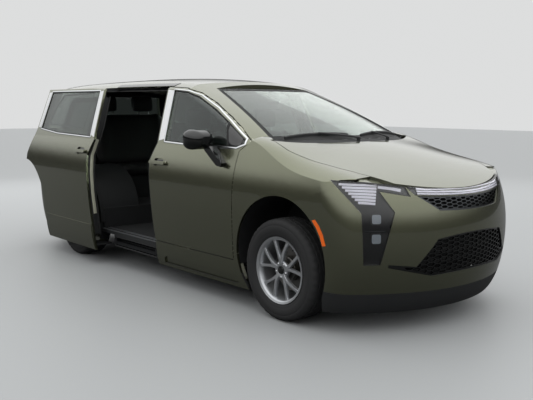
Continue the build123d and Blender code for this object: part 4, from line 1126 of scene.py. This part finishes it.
@dataclass
class Panels:
    """Outer panels, whose skin is painted and whose inner side is trim, undercoat or the paler jamb
    paint, a painted highlight.

    Attributes:
        nodes: The CAD nodes by name.
        skin: The outer surface, with the left side's closed doors.
        skin_depth: Faces nearer to the outer surface than this are painted.
        cup_size: Half the length and height of the recess behind a handle, painted black as shade.
        cup_depths: Least and largest depth of the recess.
        front_handle: Place (x, z) of the front door's handle.
        sliding_handle: Place of the sliding door's handle while it is closed.
        trim_depth: Front doors have trim from this depth inward.
        edge_depth: Sliding doors have painted edges down to this depth.
        sill_z: The body sides are painted below this height.
        jamb_x: They have the paler jamb paint, a painted highlight, ahead of this place.
        grille_z: The upper grille lies above this height.
    """

    nodes: dict
    skin: Shell
    skin_depth: float = 0.012
    cup_size: Point = (0.074, 0.032)
    cup_depths: Point = (0.003, 0.045)
    front_handle: Point = (0.104, 1.043)
    sliding_handle: Point = (-0.195, 1.088)
    trim_depth: float = 0.045
    edge_depth: float = 0.022
    sill_z: float = 0.22
    jamb_x: float = 0.06
    grille_z: float = 0.76

    def depth(self, centre: Vector, back: float = 0.0, out: float = 0.0) -> float:
        """How far a point lies inside the closed body's skin."""
        found = self.skin.beside(centre.x + back, centre.z, Side.LEFT)
        return found[0].y - (abs(centre.y) - out) if found else 0.0

    def doors(self, side: Side) -> None:
        """Dresses the doors: paint, trim inside and a black recess, painted shade, behind the
        handle.
        """
        def hinged(depth: float, normal: Vector) -> int:
            """Finish behind a front door's skin: trim inside and, on its ends, the paler jamb paint
            as painted highlight.
            """
            return 1 if depth > self.trim_depth or -side.value * normal.y > 0.4 else 3

        def sliding(depth: float, normal: Vector) -> int:
            """Finish behind a sliding door's skin: trim inside and paint on its edges."""
            return 0 if depth < self.edge_depth and abs(normal.x) > 0.5 else 1

        shut = (0.0, 0.0)
        moved = (SLIDE_BACK, SLIDE_OUT) if side is Side.RIGHT else shut
        for door, handle, (back, out), inner in (
                ("front_door", self.front_handle, shut, hinged),
                ("sliding_door", self.sliding_handle, moved, sliding)):
            def choose(centre: Vector, normal: Vector) -> int:
                """Finish of one face."""
                depth = self.depth(centre, back, out)
                beside = abs(centre.x - (handle[0] - back)) < self.cup_size[0]
                level = abs(centre.z - handle[1]) < self.cup_size[1]
                # Gloss black in the handle's recess is painted shade, where the cup's shadow falls.
                if self.cup_depths[0] < depth < self.cup_depths[1] and beside and level:
                    return 2
                return 0 if depth < self.skin_depth else inner(depth, normal)
            face_finishes(self.nodes[f"{door}_{side.word}"],
                          (PAINT, TRIM_PANEL, GLOSS_BLACK, LIT_JAMB_PAINT), choose)

    def body_side(self, side: Side) -> None:
        """Dresses a body side: paint outside, trim inside and, in the front jamb, the paler jamb
        paint as painted highlight.
        """
        def choose(centre: Vector, normal: Vector) -> int:
            """Finish of one face."""
            depth = self.depth(centre)
            if depth < self.skin_depth or centre.z < self.sill_z:
                return 0
            if centre.x > self.jamb_x and side.value * normal.y > -0.3:
                return 2
            return 1
        face_finishes(self.nodes[f"body_side_{side.word}"], (PAINT, TRIM_PANEL, LIT_JAMB_PAINT), choose)

    def shells(self) -> None:
        """Dresses the roof, bonnet, fenders and bumpers: paint outside, another finish inside."""
        rows = (("roof_panel", HEADLINER), ("bonnet", LIT_JAMB_PAINT), ("fenders", UNDERCOAT),
                ("front_bumper", BLACK_PLASTIC), ("rear_bumper", BLACK_PLASTIC),
                ("sill_skirts", UNDERCOAT))
        for name, inner in rows:
            def choose(centre: Vector, normal: Vector) -> int:
                """Finish of one face: inside where it looks at the middle of the body."""
                middle = Vector((min(1.3, max(-1.8, centre.x)), 0, 0.7))
                return 1 if normal.dot((centre - middle).normalized()) < -0.15 else 0
            face_finishes(self.nodes[name], (PAINT, inner), choose)

    def tailgate(self) -> None:
        """Dresses the tailgate: paint outside, trim inside."""
        def choose(centre: Vector, normal: Vector) -> int:
            """Finish of one face."""
            return 1 if normal.x > 0.25 or (normal.x > -0.2 and normal.z < -0.5) else 0
        face_finishes(self.nodes["tailgate"], (PAINT, TRIM_PANEL), choose)

    def grilles(self) -> None:
        """Dresses the upper grille's face in smoked chrome and the rest in gloss black."""
        def choose(centre: Vector, normal: Vector) -> int:
            """Finish of one face."""
            return 0 if centre.z > self.grille_z and normal.x > 0.3 else 1
        face_finishes(self.nodes["grilles"], (SMOKED_CHROME, GLOSS_BLACK), choose)

    def lamps(self) -> None:
        """Dresses the lamps' solids: clear in front, housing black behind and at the edges."""
        def choose(centre: Vector, normal: Vector) -> int:
            """Finish of one face."""
            middle = Vector((1.3, 0, 0.9))
            return 0 if normal.dot((centre - middle).normalized()) > 0.25 else 1
        face_finishes(self.nodes["front_lamps"], (LAMP_LENS, LAMP_HOUSING), choose)

    def build(self) -> None:
        """Dresses every outer panel."""
        self.lamps()
        for side in Side:
            self.doors(side)
            self.body_side(side)
        self.shells()
        self.tailgate()
        self.grilles()


@dataclass
class Nose:
    """What shows behind and in the nose's openings.

    Attributes:
        shell: The nose's outer surface.
        nose_radius: Radius of the nose in plan.
        fronts: Heights, and the nose's length at each.
        openings: Lowest and highest point and half width of each grille's duct.
        duct_depth: How far the duct's wall lies behind the skin.
        duct_rib: Depth of the wall's ribs.
        bar_heights: Heights of the light bar's ribs at its ends.
        bar_half: Half the light bar's width.
        bar_dip: How far its middle lies below its ends.
        bar_depth: How far its ribs lie behind the lens.
    """

    shell: Shell
    nose_radius: float = 1.35
    openings: tuple[Point, ...] = ((0.836, 0.938, 0.47), (0.41, 0.675, 0.66))
    duct_depth: float = 0.055
    duct_rib: float = 0.012
    bar_heights: tuple[float, ...] = (0.957, 0.972, 0.987)
    bar_half: float = 0.48
    bar_dip: float = 0.0165
    bar_depth: float = 0.0075
    fronts: tuple[Point, ...] = ((0.300, 2.545), (0.560, 2.588), (0.800, 2.572), (1.000, 2.505))

    def front_x(self, y: float, z: float) -> float:
        """Length of the nose at a width and a height."""
        for (low, x0), (high, x1) in zip(self.fronts, self.fronts[1:]):
            if z <= high:
                break
        t = (z - low) / (high - low)
        return x0 + (x1 - x0) * t - (self.nose_radius - math.sqrt(self.nose_radius ** 2 - y * y))

    def backing(self) -> None:
        """Builds the dark duct wall behind both grilles."""
        shape = bmesh.new()
        for low, high, half in self.openings:
            rows = []
            for i in range(9):
                z = low + (high - low) * i / 8
                behind = self.duct_depth + self.duct_rib * (i % 2)
                rows.append([shape.verts.new((self.front_x(y, z) - behind, y, z))
                             for y in (half * (j / 12 - 1) for j in range(25))])
            join_rows(shape, rows, around=False)
        make_piece("grille_duct", shape, DUCT, "root", 30)

    def light_bar(self) -> None:
        """Lays the ribs of the light bar under the bonnet's edge."""
        shape = bmesh.new()
        for z in self.bar_heights:
            path, ups = [], []
            for i in range(41):
                share = i / 20 - 1
                dip = self.bar_dip * (1 - share ** 2)
                found = self.shell.ahead(self.bar_half * share, z - dip)
                if found:
                    path.append(found[0] - found[1] * self.bar_depth)
                    ups.append(found[1])
            if len(path) > 3:
                sweep(shape, path, ups, rounded_rectangle(0.0125, 0.004, 0.0018, 2))
        make_piece("light_bar_ribs", shape, LIGHT_GUIDE, "root", SEAM_ANGLE)

    def build(self) -> None:
        """Builds the nose's pieces."""
        self.backing()
        self.light_bar()


@dataclass
class Screen:
    """The windscreen's ceramic border, its camera pod and the inside mirror.

    Attributes:
        glass: The windscreen's surface.
        step: Distance between points along the border.
        scan: Distance between tries for the glass's edge.
        middle: Place along the vehicle that always shows the glass.
        half_width: Distance of the border's ends from the vehicle's middle.
        first_x: Where along the vehicle its sides start.
        bands: Width of the border at its front, at its rear and at its sides.
        shares: Places of a band's points across it, as shares of its width.
    """

    glass: Shell
    step: float = 0.03
    scan: float = 0.004
    middle: float = 0.95
    half_width: float = 0.84
    first_x: float = 0.35
    bands: Point = (0.060, 0.045, 0.035)
    shares: Point = (0.06, 0.5, 1.0)

    def last(self, start: Point, way: Point, reach: float) -> Optional[Vector]:
        """Last point of the glass from a start (x, y) along a way."""
        found = None
        for k in range(int(reach / self.scan)):
            run = self.scan * k
            hit = self.glass.above(start[0] + way[0] * run, start[1] + way[1] * run)
            if hit:
                found = hit[0]
            elif found:
                break
        return found

    def band(self, shape: bmesh.types.BMesh, outer: Sequence[Vector], way: Point,
             width: float) -> None:
        """Lays a strip of border inward from the glass's edge."""
        rows = []
        for point in outer:
            row = []
            for share in self.shares:
                hit = self.glass.above(point.x + way[0] * width * share,
                                       point.y + way[1] * width * share)
                if hit:
                    row.append(hit[0] + hit[1] * 0.0008)
            if len(row) == len(self.shares):
                rows.append([shape.verts.new(p) for p in row])
        join_rows(shape, rows, around=False)

    def border(self) -> None:
        """Prints the border round the glass."""
        shape = bmesh.new()
        front, rear, sides = self.bands
        for way, width in (((1, 0), front), ((-1, 0), rear)):
            edge = [self.last((self.middle, -self.half_width + self.step * i), way, 0.9)
                    for i in range(57)]
            self.band(shape, [p for p in edge if p], (-way[0], 0), width)
        for side in Side:
            edge = [self.last((self.first_x + self.step * i, 0.0), (0, side.value), 1.0)
                    for i in range(42)]
            self.band(shape, [p for p in edge if p], (0, -side.value), sides)
        make_piece("windscreen_border", shape, SEAL, "root", SEAM_ANGLE)

    def pod(self) -> None:
        """Hangs the camera pod and the mirror behind the top of the glass."""
        top = self.last((self.middle, 0.0), (-1, 0), 0.9)
        spots = [self.glass.above(top.x + d, 0.0) for d in (0.02, 0.10, 0.19)]
        path = [hit[0] - hit[1] * 0.012 for hit in spots if hit]
        swept_piece("camera_pod", [path], -UP, rounded_rectangle(0.115, 0.042, 0.014, 3),
                    BLACK_PLASTIC, "root")
        centre = path[1] + Vector((-0.035, 0, -0.105))
        case = [centre + Vector((x, 0, z)) for x, z in ((0, 0), (0.012, 0.002), (0.026, 0.004))]
        swept_piece("inside_mirror", [case], UP, rounded_rectangle(0.245, 0.066, 0.026, 5, -0.033),
                    GLOSS_BLACK, "root")
        stem = [centre + Vector((x, 0, z)) for x, z in ((0.015, 0.02), (0.035, 0.07))]
        swept_piece("inside_mirror_stem", [stem], LEFTWARD,
                    rounded_rectangle(0.018, 0.018, 0.008, 3, -0.009),
                    BLACK_PLASTIC, "root")

    def build(self) -> None:
        """Builds the screen's pieces."""
        self.border()
        self.pod()


@dataclass
class LampClosing(LampAim):
    """Painted closing panel between a headlamp's top, the fender's end and the bonnet's edge.

    Attributes:
        lamps: Outer surface of the lamps.
        bonnet: The bonnet, which the panel keeps clear of.
        fender: The fenders, which the panel meets.
        clear: Distance that it keeps from the bonnet.
        tuck: How far it reaches behind the fender and the lamp.
        smallest: Gap that needs no panel.
        thickness: The panel's thickness.
        columns: Points of the panel from the bonnet to the lamp.
        search: Distance between the heights that are tried.
    """

    lamps: Shell
    bonnet: Shell
    fender: Shell
    clear: float = 0.007
    tuck: float = 0.003
    smallest: float = 0.006
    thickness: float = 0.003
    columns: int = 5
    search: float = 0.002

    def scan(self, shell: Shell, u: float, heights: Iterable[float]) -> Optional[Vector]:
        """First point that a shell shows along the lamp's bearing, trying heights in turn."""
        for z in heights:
            found = self.look(shell, u, z)
            if found:
                return found[0]
        return None

    def line(self, u: float) -> Optional[tuple[Vector, Vector]]:
        """Upper and lower end of the gap at a place across the lamp, where there is one."""
        low = self.scan(self.lamps, u, (1.080 - self.search * k for k in range(60)))
        if not low:
            return None
        rise = [low.z + 0.001 + self.search * k for k in range(50)]
        bonnet, fender = self.scan(self.bonnet, u, rise), self.scan(self.fender, u, rise)
        ends = []
        if bonnet:
            ends.append((bonnet.z, bonnet + self.facing * self.clear - UP * 0.003))
        if fender:
            ends.append((fender.z, fender - self.facing * self.tuck))
        if not ends:
            return None
        high = min(ends, key=lambda end: end[0])[1]
        wide = (high - low).length > self.smallest
        return (high, low - self.facing * self.tuck + UP * 0.001) if wide else None

    def build(self) -> None:
        """Builds the panel."""
        lines = [line for line in (self.line(0.700 + 0.015 * i) for i in range(28)) if line]
        if len(lines) < 3:
            return
        shape = bmesh.new()
        spans = self.columns - 1
        grid = [[high.lerp(low, j / spans) for j in range(self.columns)] for high, low in lines]
        for drop in (0.0, self.thickness):
            join_rows(shape, [[shape.verts.new(p - UP * drop) for p in line] for line in grid],
                      around=False)
        name = f"lamp_closing_{self.side.word}"
        make_piece(name, shape, PAINT, "root", SEAM_ANGLE)


@dataclass
class Chair:
    """A seat of stitched leather pads over foam, in the place of its CAD solid.

    Attributes:
        name: The seat's name.
        node: The CAD node that it replaces.
        x: Rear of its cushion.
        y: Its middle.
        width: Its width.
        low: Height of its cushion's underside.
        base: Height of the floor under it.
        rows: Points round a pad's side view.
        columns: Steps across a pad.
        cushion: Side view (x, z) of the cushion, from the seat's own corner.
        back: Side view of the backrest.
        head: Side view of the headrest.
        sitter: Direction in that view that faces the sitter.
        seam: Depth, place and width of the side seams, place and width as shares of half a pad.
        channel: Depth and width of the sewn channels, the width as a share of their distance.
        bolster: Place and width of the side bolsters, as shares of half a pad.
        crown: Height of the crown between the seams.
        sewn: Distance between sewn channels.
        head_width: Width of a headrest.
        head_spread: Distance of a bench's headrests from its middle.
        post_line: Points (back, up) of a headrest's posts from the seat's own corner.
        post_radius: Radius of the posts.
    """

    name: str
    node: str
    x: float
    y: float
    width: float
    low: float
    base: float
    rows: int = 34
    columns: int = 36
    cushion: tuple[Point, ...] = (
        (0.020, 0.004), (0.120, -0.004), (0.300, 0.000), (0.460, 0.006), (0.525, 0.022),
        (0.541, 0.066), (0.520, 0.108), (0.440, 0.128), (0.300, 0.118), (0.160, 0.108),
        (0.060, 0.112), (0.006, 0.080))
    back: tuple[Point, ...] = (
        (0.000, 0.050), (0.062, 0.118), (0.040, 0.220), (0.016, 0.340), (-0.018, 0.480),
        (-0.052, 0.590), (-0.078, 0.638), (-0.130, 0.652), (-0.178, 0.628), (-0.190, 0.580),
        (-0.150, 0.440), (-0.112, 0.300), (-0.078, 0.160), (-0.058, 0.070))
    head: tuple[Point, ...] = (
        (-0.146, 0.696), (-0.140, 0.760), (-0.148, 0.826), (-0.172, 0.866), (-0.204, 0.868),
        (-0.226, 0.830), (-0.218, 0.760), (-0.206, 0.702), (-0.176, 0.692))
    sitter: Point = (0.55, 0.83)
    seam: Point = (0.0045, 0.60, 0.018)
    channel: Point = (0.004, 0.09)
    bolster: Point = (0.80, 0.13)
    crown: float = 0.006
    sewn: float = 0.085
    head_width: float = 0.25
    head_spread: float = 0.24
    post_line: tuple[Point, ...] = ((0.128, 0.62), (0.150, 0.67), (0.172, 0.74))
    post_radius: float = 0.0065

    def smooth_loop(self, outline: Sequence[Point]) -> list[Vector]:
        """Rounds a closed outline through its points."""
        count = len(outline)
        out = []
        for i in range(self.rows):
            place = i * count / self.rows
            k, t = int(place), place - int(place)
            p = [Vector(outline[(k + j) % count]) for j in (-1, 0, 1, 2)]
            out.append(0.5 * ((2 * p[1]) + (p[2] - p[0]) * t
                              + (2 * p[0] - 5 * p[1] + 4 * p[2] - p[3]) * t * t
                              + (3 * p[1] - p[0] - 3 * p[2] + p[3]) * t ** 3))
        return out

    def pad(self, part: str, outline: Sequence[Point], middle: float, width: float,
            sides: float, channels: float) -> None:
        """Builds one crowned pad with its side bolsters, its seams and its sewn channels.

        Args:
            part: The pad's name.
            outline: Its side view (x, z) from the seat's own corner.
            middle: Y of its middle.
            width: Its width.
            sides: How far its sides stand up beside the sitter.
            channels: Distance between sewn channels, or 0 for none.
        """
        loop = self.smooth_loop(outline)
        centre = sum(loop, Vector((0, 0))) / len(loop)
        side_place, side_width = self.bolster
        seam_depth, seam_place, seam_width = self.seam
        shape = bmesh.new()
        rings = []
        run = 0.0
        lengths = [0.0]
        for a, b in zip(loop, loop[1:]):
            run += (b - a).length
            lengths.append(run)
        for j in range(self.columns + 1):
            t = -math.cos(math.pi * j / self.columns)
            shrink = (1 - abs(t) ** 7) ** (1 / 2.4)
            ring = []
            for i, point in enumerate(loop):
                ahead, behind = loop[(i + 1) % len(loop)], loop[i - 1]
                along = (ahead - behind).normalized()
                normal = Vector((along.y, -along.x))
                if normal.dot(point - centre) < 0:
                    normal = -normal
                facing = max(0.0, normal.dot(Vector(self.sitter)))
                rise = sides * facing * math.exp(-((abs(t) - side_place) / side_width) ** 2)
                rise -= seam_depth * math.exp(-((abs(t) - seam_place) / seam_width) ** 2)
                if channels and abs(t) < seam_place:
                    phase = (lengths[i] % channels) / channels - 0.5
                    rise -= self.channel[0] * facing * math.exp(-(phase / self.channel[1]) ** 2)
                    rise += self.crown * facing * (1 - (t / seam_place) ** 2)
                spot = centre + (point - centre) * (0.72 + 0.28 * shrink) + normal * rise * shrink
                ring.append(shape.verts.new((self.x + spot.x, middle + t * width / 2,
                                             self.low + spot.y)))
            rings.append(ring)
        join_rows(shape, rings, capped=True)
        piece = make_piece(f"{self.name}_{part}", shape, LEATHER, "root", 60)
        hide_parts(self.node)

    def frame(self) -> None:
        """Builds the moulded plinth under the cushion."""
        half = self.width / 2 - 0.05
        path = [Vector((self.x + 0.255, self.y, z)) for z in
                (self.base + 0.001, self.base + 0.03, self.low - 0.03, self.low + 0.02)]
        piece = swept_piece(f"{self.name}_plinth", [path], FORWARD,
                            rounded_rectangle(2 * half, 0.42, 0.05, 4, -0.21),
                            BLACK_PLASTIC, "root")
        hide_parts(self.node)

    def build(self) -> None:
        """Builds the seat's pieces, one headrest for each half metre of width."""
        self.pad("cushion", self.cushion, self.y, self.width, 0.022, self.sewn)
        self.pad("back", self.back, self.y, self.width, 0.026, self.sewn)
        places = [self.y] if self.width < 0.7 else [
            self.y - self.head_spread, self.y + self.head_spread]
        posts = []
        for i, middle in enumerate(places):
            part = f"head_{i}" if len(places) > 1 else "head"
            self.pad(part, self.head, middle, self.head_width, 0, 0)
            posts += [[Vector((self.x - back, middle + post, self.low + rise))
                       for back, rise in self.post_line]
                      for post in (-0.07, 0.07)]
        radius, turns = self.post_radius, [a * math.pi / 5 for a in range(10)]
        round_bar = [(radius * math.cos(a), radius * math.sin(a)) for a in turns]
        piece = swept_piece(f"{self.name}_posts", posts, LEFTWARD, round_bar, CHROME, "root")
        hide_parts(self.node)
        self.frame()


@dataclass
class Mirror:
    """Silvered glass of one door mirror.

    Attributes:
        side: Its side of the vehicle.
        face_x: Place of its face along the vehicle.
        y: Distance of its middle from the vehicle's.
        z: Height of its middle.
    """

    side: Side
    face_x: float = 0.7045
    y: float = 1.036
    z: float = 1.262

    def build(self) -> None:
        """Builds the mirror's pieces."""
        centre = Vector((self.face_x, self.side.value * self.y, self.z))
        swept_piece(f"mirror_glass_{self.side.word}", [[centre, centre - FORWARD * 0.003]], UP,
                    rounded_rectangle(0.186, 0.114, 0.043, 8, -0.057), MIRROR_GLASS,
                    f"front_door_{self.side.word}")


@dataclass
class Doorway:
    """Fittings of the open doorway: track cover, threshold and the open door's front end.

    Attributes:
        trims: Layer of strips on the right body side.
        track: Rows of the track's cover, in millimetres.
        floor_z: Height of the floor in the doorway.
        strips: Place across the vehicle and width of each strip of the threshold.
        edge: Front edge of the open door's outer skin.
        inset: How far the door's inner edge stands from it.
        pressed: Lowest and highest point of the pale pressing.
        seals: Places of the two seals, inward from the inner edge.
    """

    trims: Trims
    track: tuple[Point, ...] = ((-985, 1691, -985, 1716), (-45, 1691, -45, 1716))
    floor_z: float = 0.3305
    strips: tuple[Point, ...] = ((-0.940, 0.030), (-0.890, 0.012), (-0.865, 0.012))
    edge: tuple[Point, ...] = (
        (-0.844, -1.115, 0.300), (-0.850, -1.123, 0.400), (-0.857, -1.130, 0.500),
        (-0.868, -1.135, 0.600), (-0.880, -1.139, 0.700), (-0.892, -1.138, 0.800),
        (-0.903, -1.135, 0.900), (-0.914, -1.124, 0.980), (-0.926, -1.111, 1.050),
        (-0.918, -1.094, 1.100), (-0.911, -1.079, 1.150), (-0.905, -1.061, 1.200),
        (-0.904, -1.025, 1.300), (-0.922, -0.988, 1.400), (-0.944, -0.950, 1.500),
        (-0.965, -0.913, 1.600))
    inset: Point = (-0.004, 0.020)
    # pressed: Lowest and highest point of the pale pressing, a painted highlight.
    pressed: Point = (0.45, 1.25)
    seals: Point = (0.008, 0.062)

    def channel(self) -> None:
        """Lays the black cover of the door's upper track over the doorway."""
        for side in Side:
            shape = bmesh.new()
            self.trims.cover(shape, pairs(self.track), side, 4, 0.003)
            make_piece(f"track_cover_{side.word}", shape, GLOSS_BLACK, "root",
                       SEAM_ANGLE)

    def threshold(self) -> None:
        """Lays the ribbed edge strips of the floor in the doorway."""
        shape = bmesh.new()
        for y, width in self.strips:
            sweep(shape, [Vector((x, y, self.floor_z)) for x in (-0.955, -0.45, 0.030)], UP,
                  rounded_rectangle(width, 0.004, 0.0018, 2))
        make_piece("threshold_strips", shape, RAMP_METAL, "root", SEAM_ANGLE)

    def jamb(self) -> None:
        """Builds the open door's front end: its black inner box, pale pressing as painted
        highlight, and seals.
        """
        inner = [Vector((x + self.inset[0], y + self.inset[1], z)) for x, y, z in self.edge]
        swept_piece("sliding_door_end", [[p + Vector((-0.028, -0.001, 0)) for p in inner]],
                    LEFTWARD, rounded_rectangle(0.055, 0.072, 0.012, 3), TRIM_PANEL, "root")
        pale = [p + Vector((-0.002, 0.032, 0)) for p in inner
                if self.pressed[0] < p.z < self.pressed[1]]
        swept_piece("sliding_door_pressing", [pale], FORWARD,
                    rounded_rectangle(0.034, 0.006, 0.0025, 2), LIT_JAMB_PAINT, "root")
        bulbs = [[p + Vector((-0.004, out, 0)) for p in inner] for out in self.seals]
        swept_piece("sliding_door_bulbs", bulbs, FORWARD,
                    rounded_rectangle(0.013, 0.013, 0.006, 4), SEAL, "root")

    def build(self) -> None:
        """Builds the doorway's pieces."""
        self.channel()
        self.jamb()
        self.threshold()


@dataclass
class Tail:
    """Blank number plate on its mount in the tailgate.

    Attributes:
        plate_z: Height of its middle.
        face_x: Place of its back along the vehicle.
    """

    plate_z: float = 0.790
    face_x: float = -2.5778

    def build(self) -> None:
        """Builds the plate with its rounded corners."""
        centre = Vector((self.face_x, 0, self.plate_z))
        swept_piece("plate_blank", [[centre, centre - FORWARD * 0.0015]], UP,
                    rounded_rectangle(0.300, 0.120, 0.012, 4, -0.060), PLATE, "tailgate")


def main() -> None:
    """Builds the dressed model and the stage."""
    logging.basicConfig(level=logging.INFO, format="%(name)s: %(message)s")
    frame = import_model()
    nodes = frame["nodes"]
    plain = {
        BLACK_PLASTIC: ("front_valance", "cowl", "wheel_liners", "ramp_cassette", "door_arms",
                        "dashboard", "steering_column", "wipers"),
        GLOSS_BLACK: ("mirror_right", "mirror_left"),
        RED_LENS: ("tail_lamps", "tailgate_lamps"),
        SCREEN_GLASS: ("windscreen",),
        DOOR_GLASS: ("front_door_glass_right", "front_door_glass_left"),
        PRIVACY_GLASS: ("side_glass", "tailgate_glass"),
        CARPET: ("floor_pan",),
        CAST_IRON: ("engine_block", "front_subframe", "rear_axle", "knuckle_right",
                    "knuckle_left", "underbody"),
        RAMP_DARK: ("ramp",),
        LEATHER: ("front_seats", "rear_bench", "steering_wheel"),
        RUBBER: tuple(f"tyre_{end}_{side.word}" for end, _ in AXLES for side in Side),
        ALLOY: tuple(f"wheel_{end}_{side.word}" for end, _ in AXLES for side in Side),
    }
    for finish, names in plain.items():
        for name in names:
            shade(nodes[name], finish)
    for side in Side:
        for end, axle_x in AXLES:
            Wheel(end, side, axle_x).build()
    left = ("body_side_left", "front_door_left", "front_door_glass_left", "side_glass", "fenders",
            "front_bumper", "rear_bumper", "front_lamps", "roof_panel")
    skin, doors, closed, lamps, screen, nose = (
        Shell([nodes[n] for n in names]) for names in (
            (*left, "body_side_right", "front_door_right", "front_door_glass_right"),
            ("sliding_door_right", "sliding_door_left", "side_glass"),
            (*left, "sliding_door_left", "sill_skirts", "tail_lamps"),
            ("front_lamps",), ("windscreen",), ("front_lamps", "front_bumper")))
    Panels(nodes, closed).build()
    Nose(nose).build()
    for name, y in (("seat_right", -0.400), ("seat_left", 0.400)):
        Chair(name, "front_seats", x=0.060, y=y, width=0.500, low=0.620, base=0.330).build()
    Chair("bench", "rear_bench", x=-1.960, y=0.0, width=0.960, low=0.760, base=0.520).build()
    Doorway(Trims(skin)).build()
    Screen(screen).build()
    Tail().build()
    for side in Side:
        Mirror(side).build()
        slide = SLIDE_BACK if side is Side.RIGHT else 0.0
        SideTrim(Trims(skin), Trims(doors), Trims(closed, True), side, slide).build()
        Lamp(side, lamps).build()
        LampClosing(side, lamps, Shell([nodes["bonnet"]]), Shell([nodes["fenders"]])).build()
    Studio().build()
    bpy.context.scene.view_settings.view_transform = "Standard"


if __name__ == "__main__":
    main()
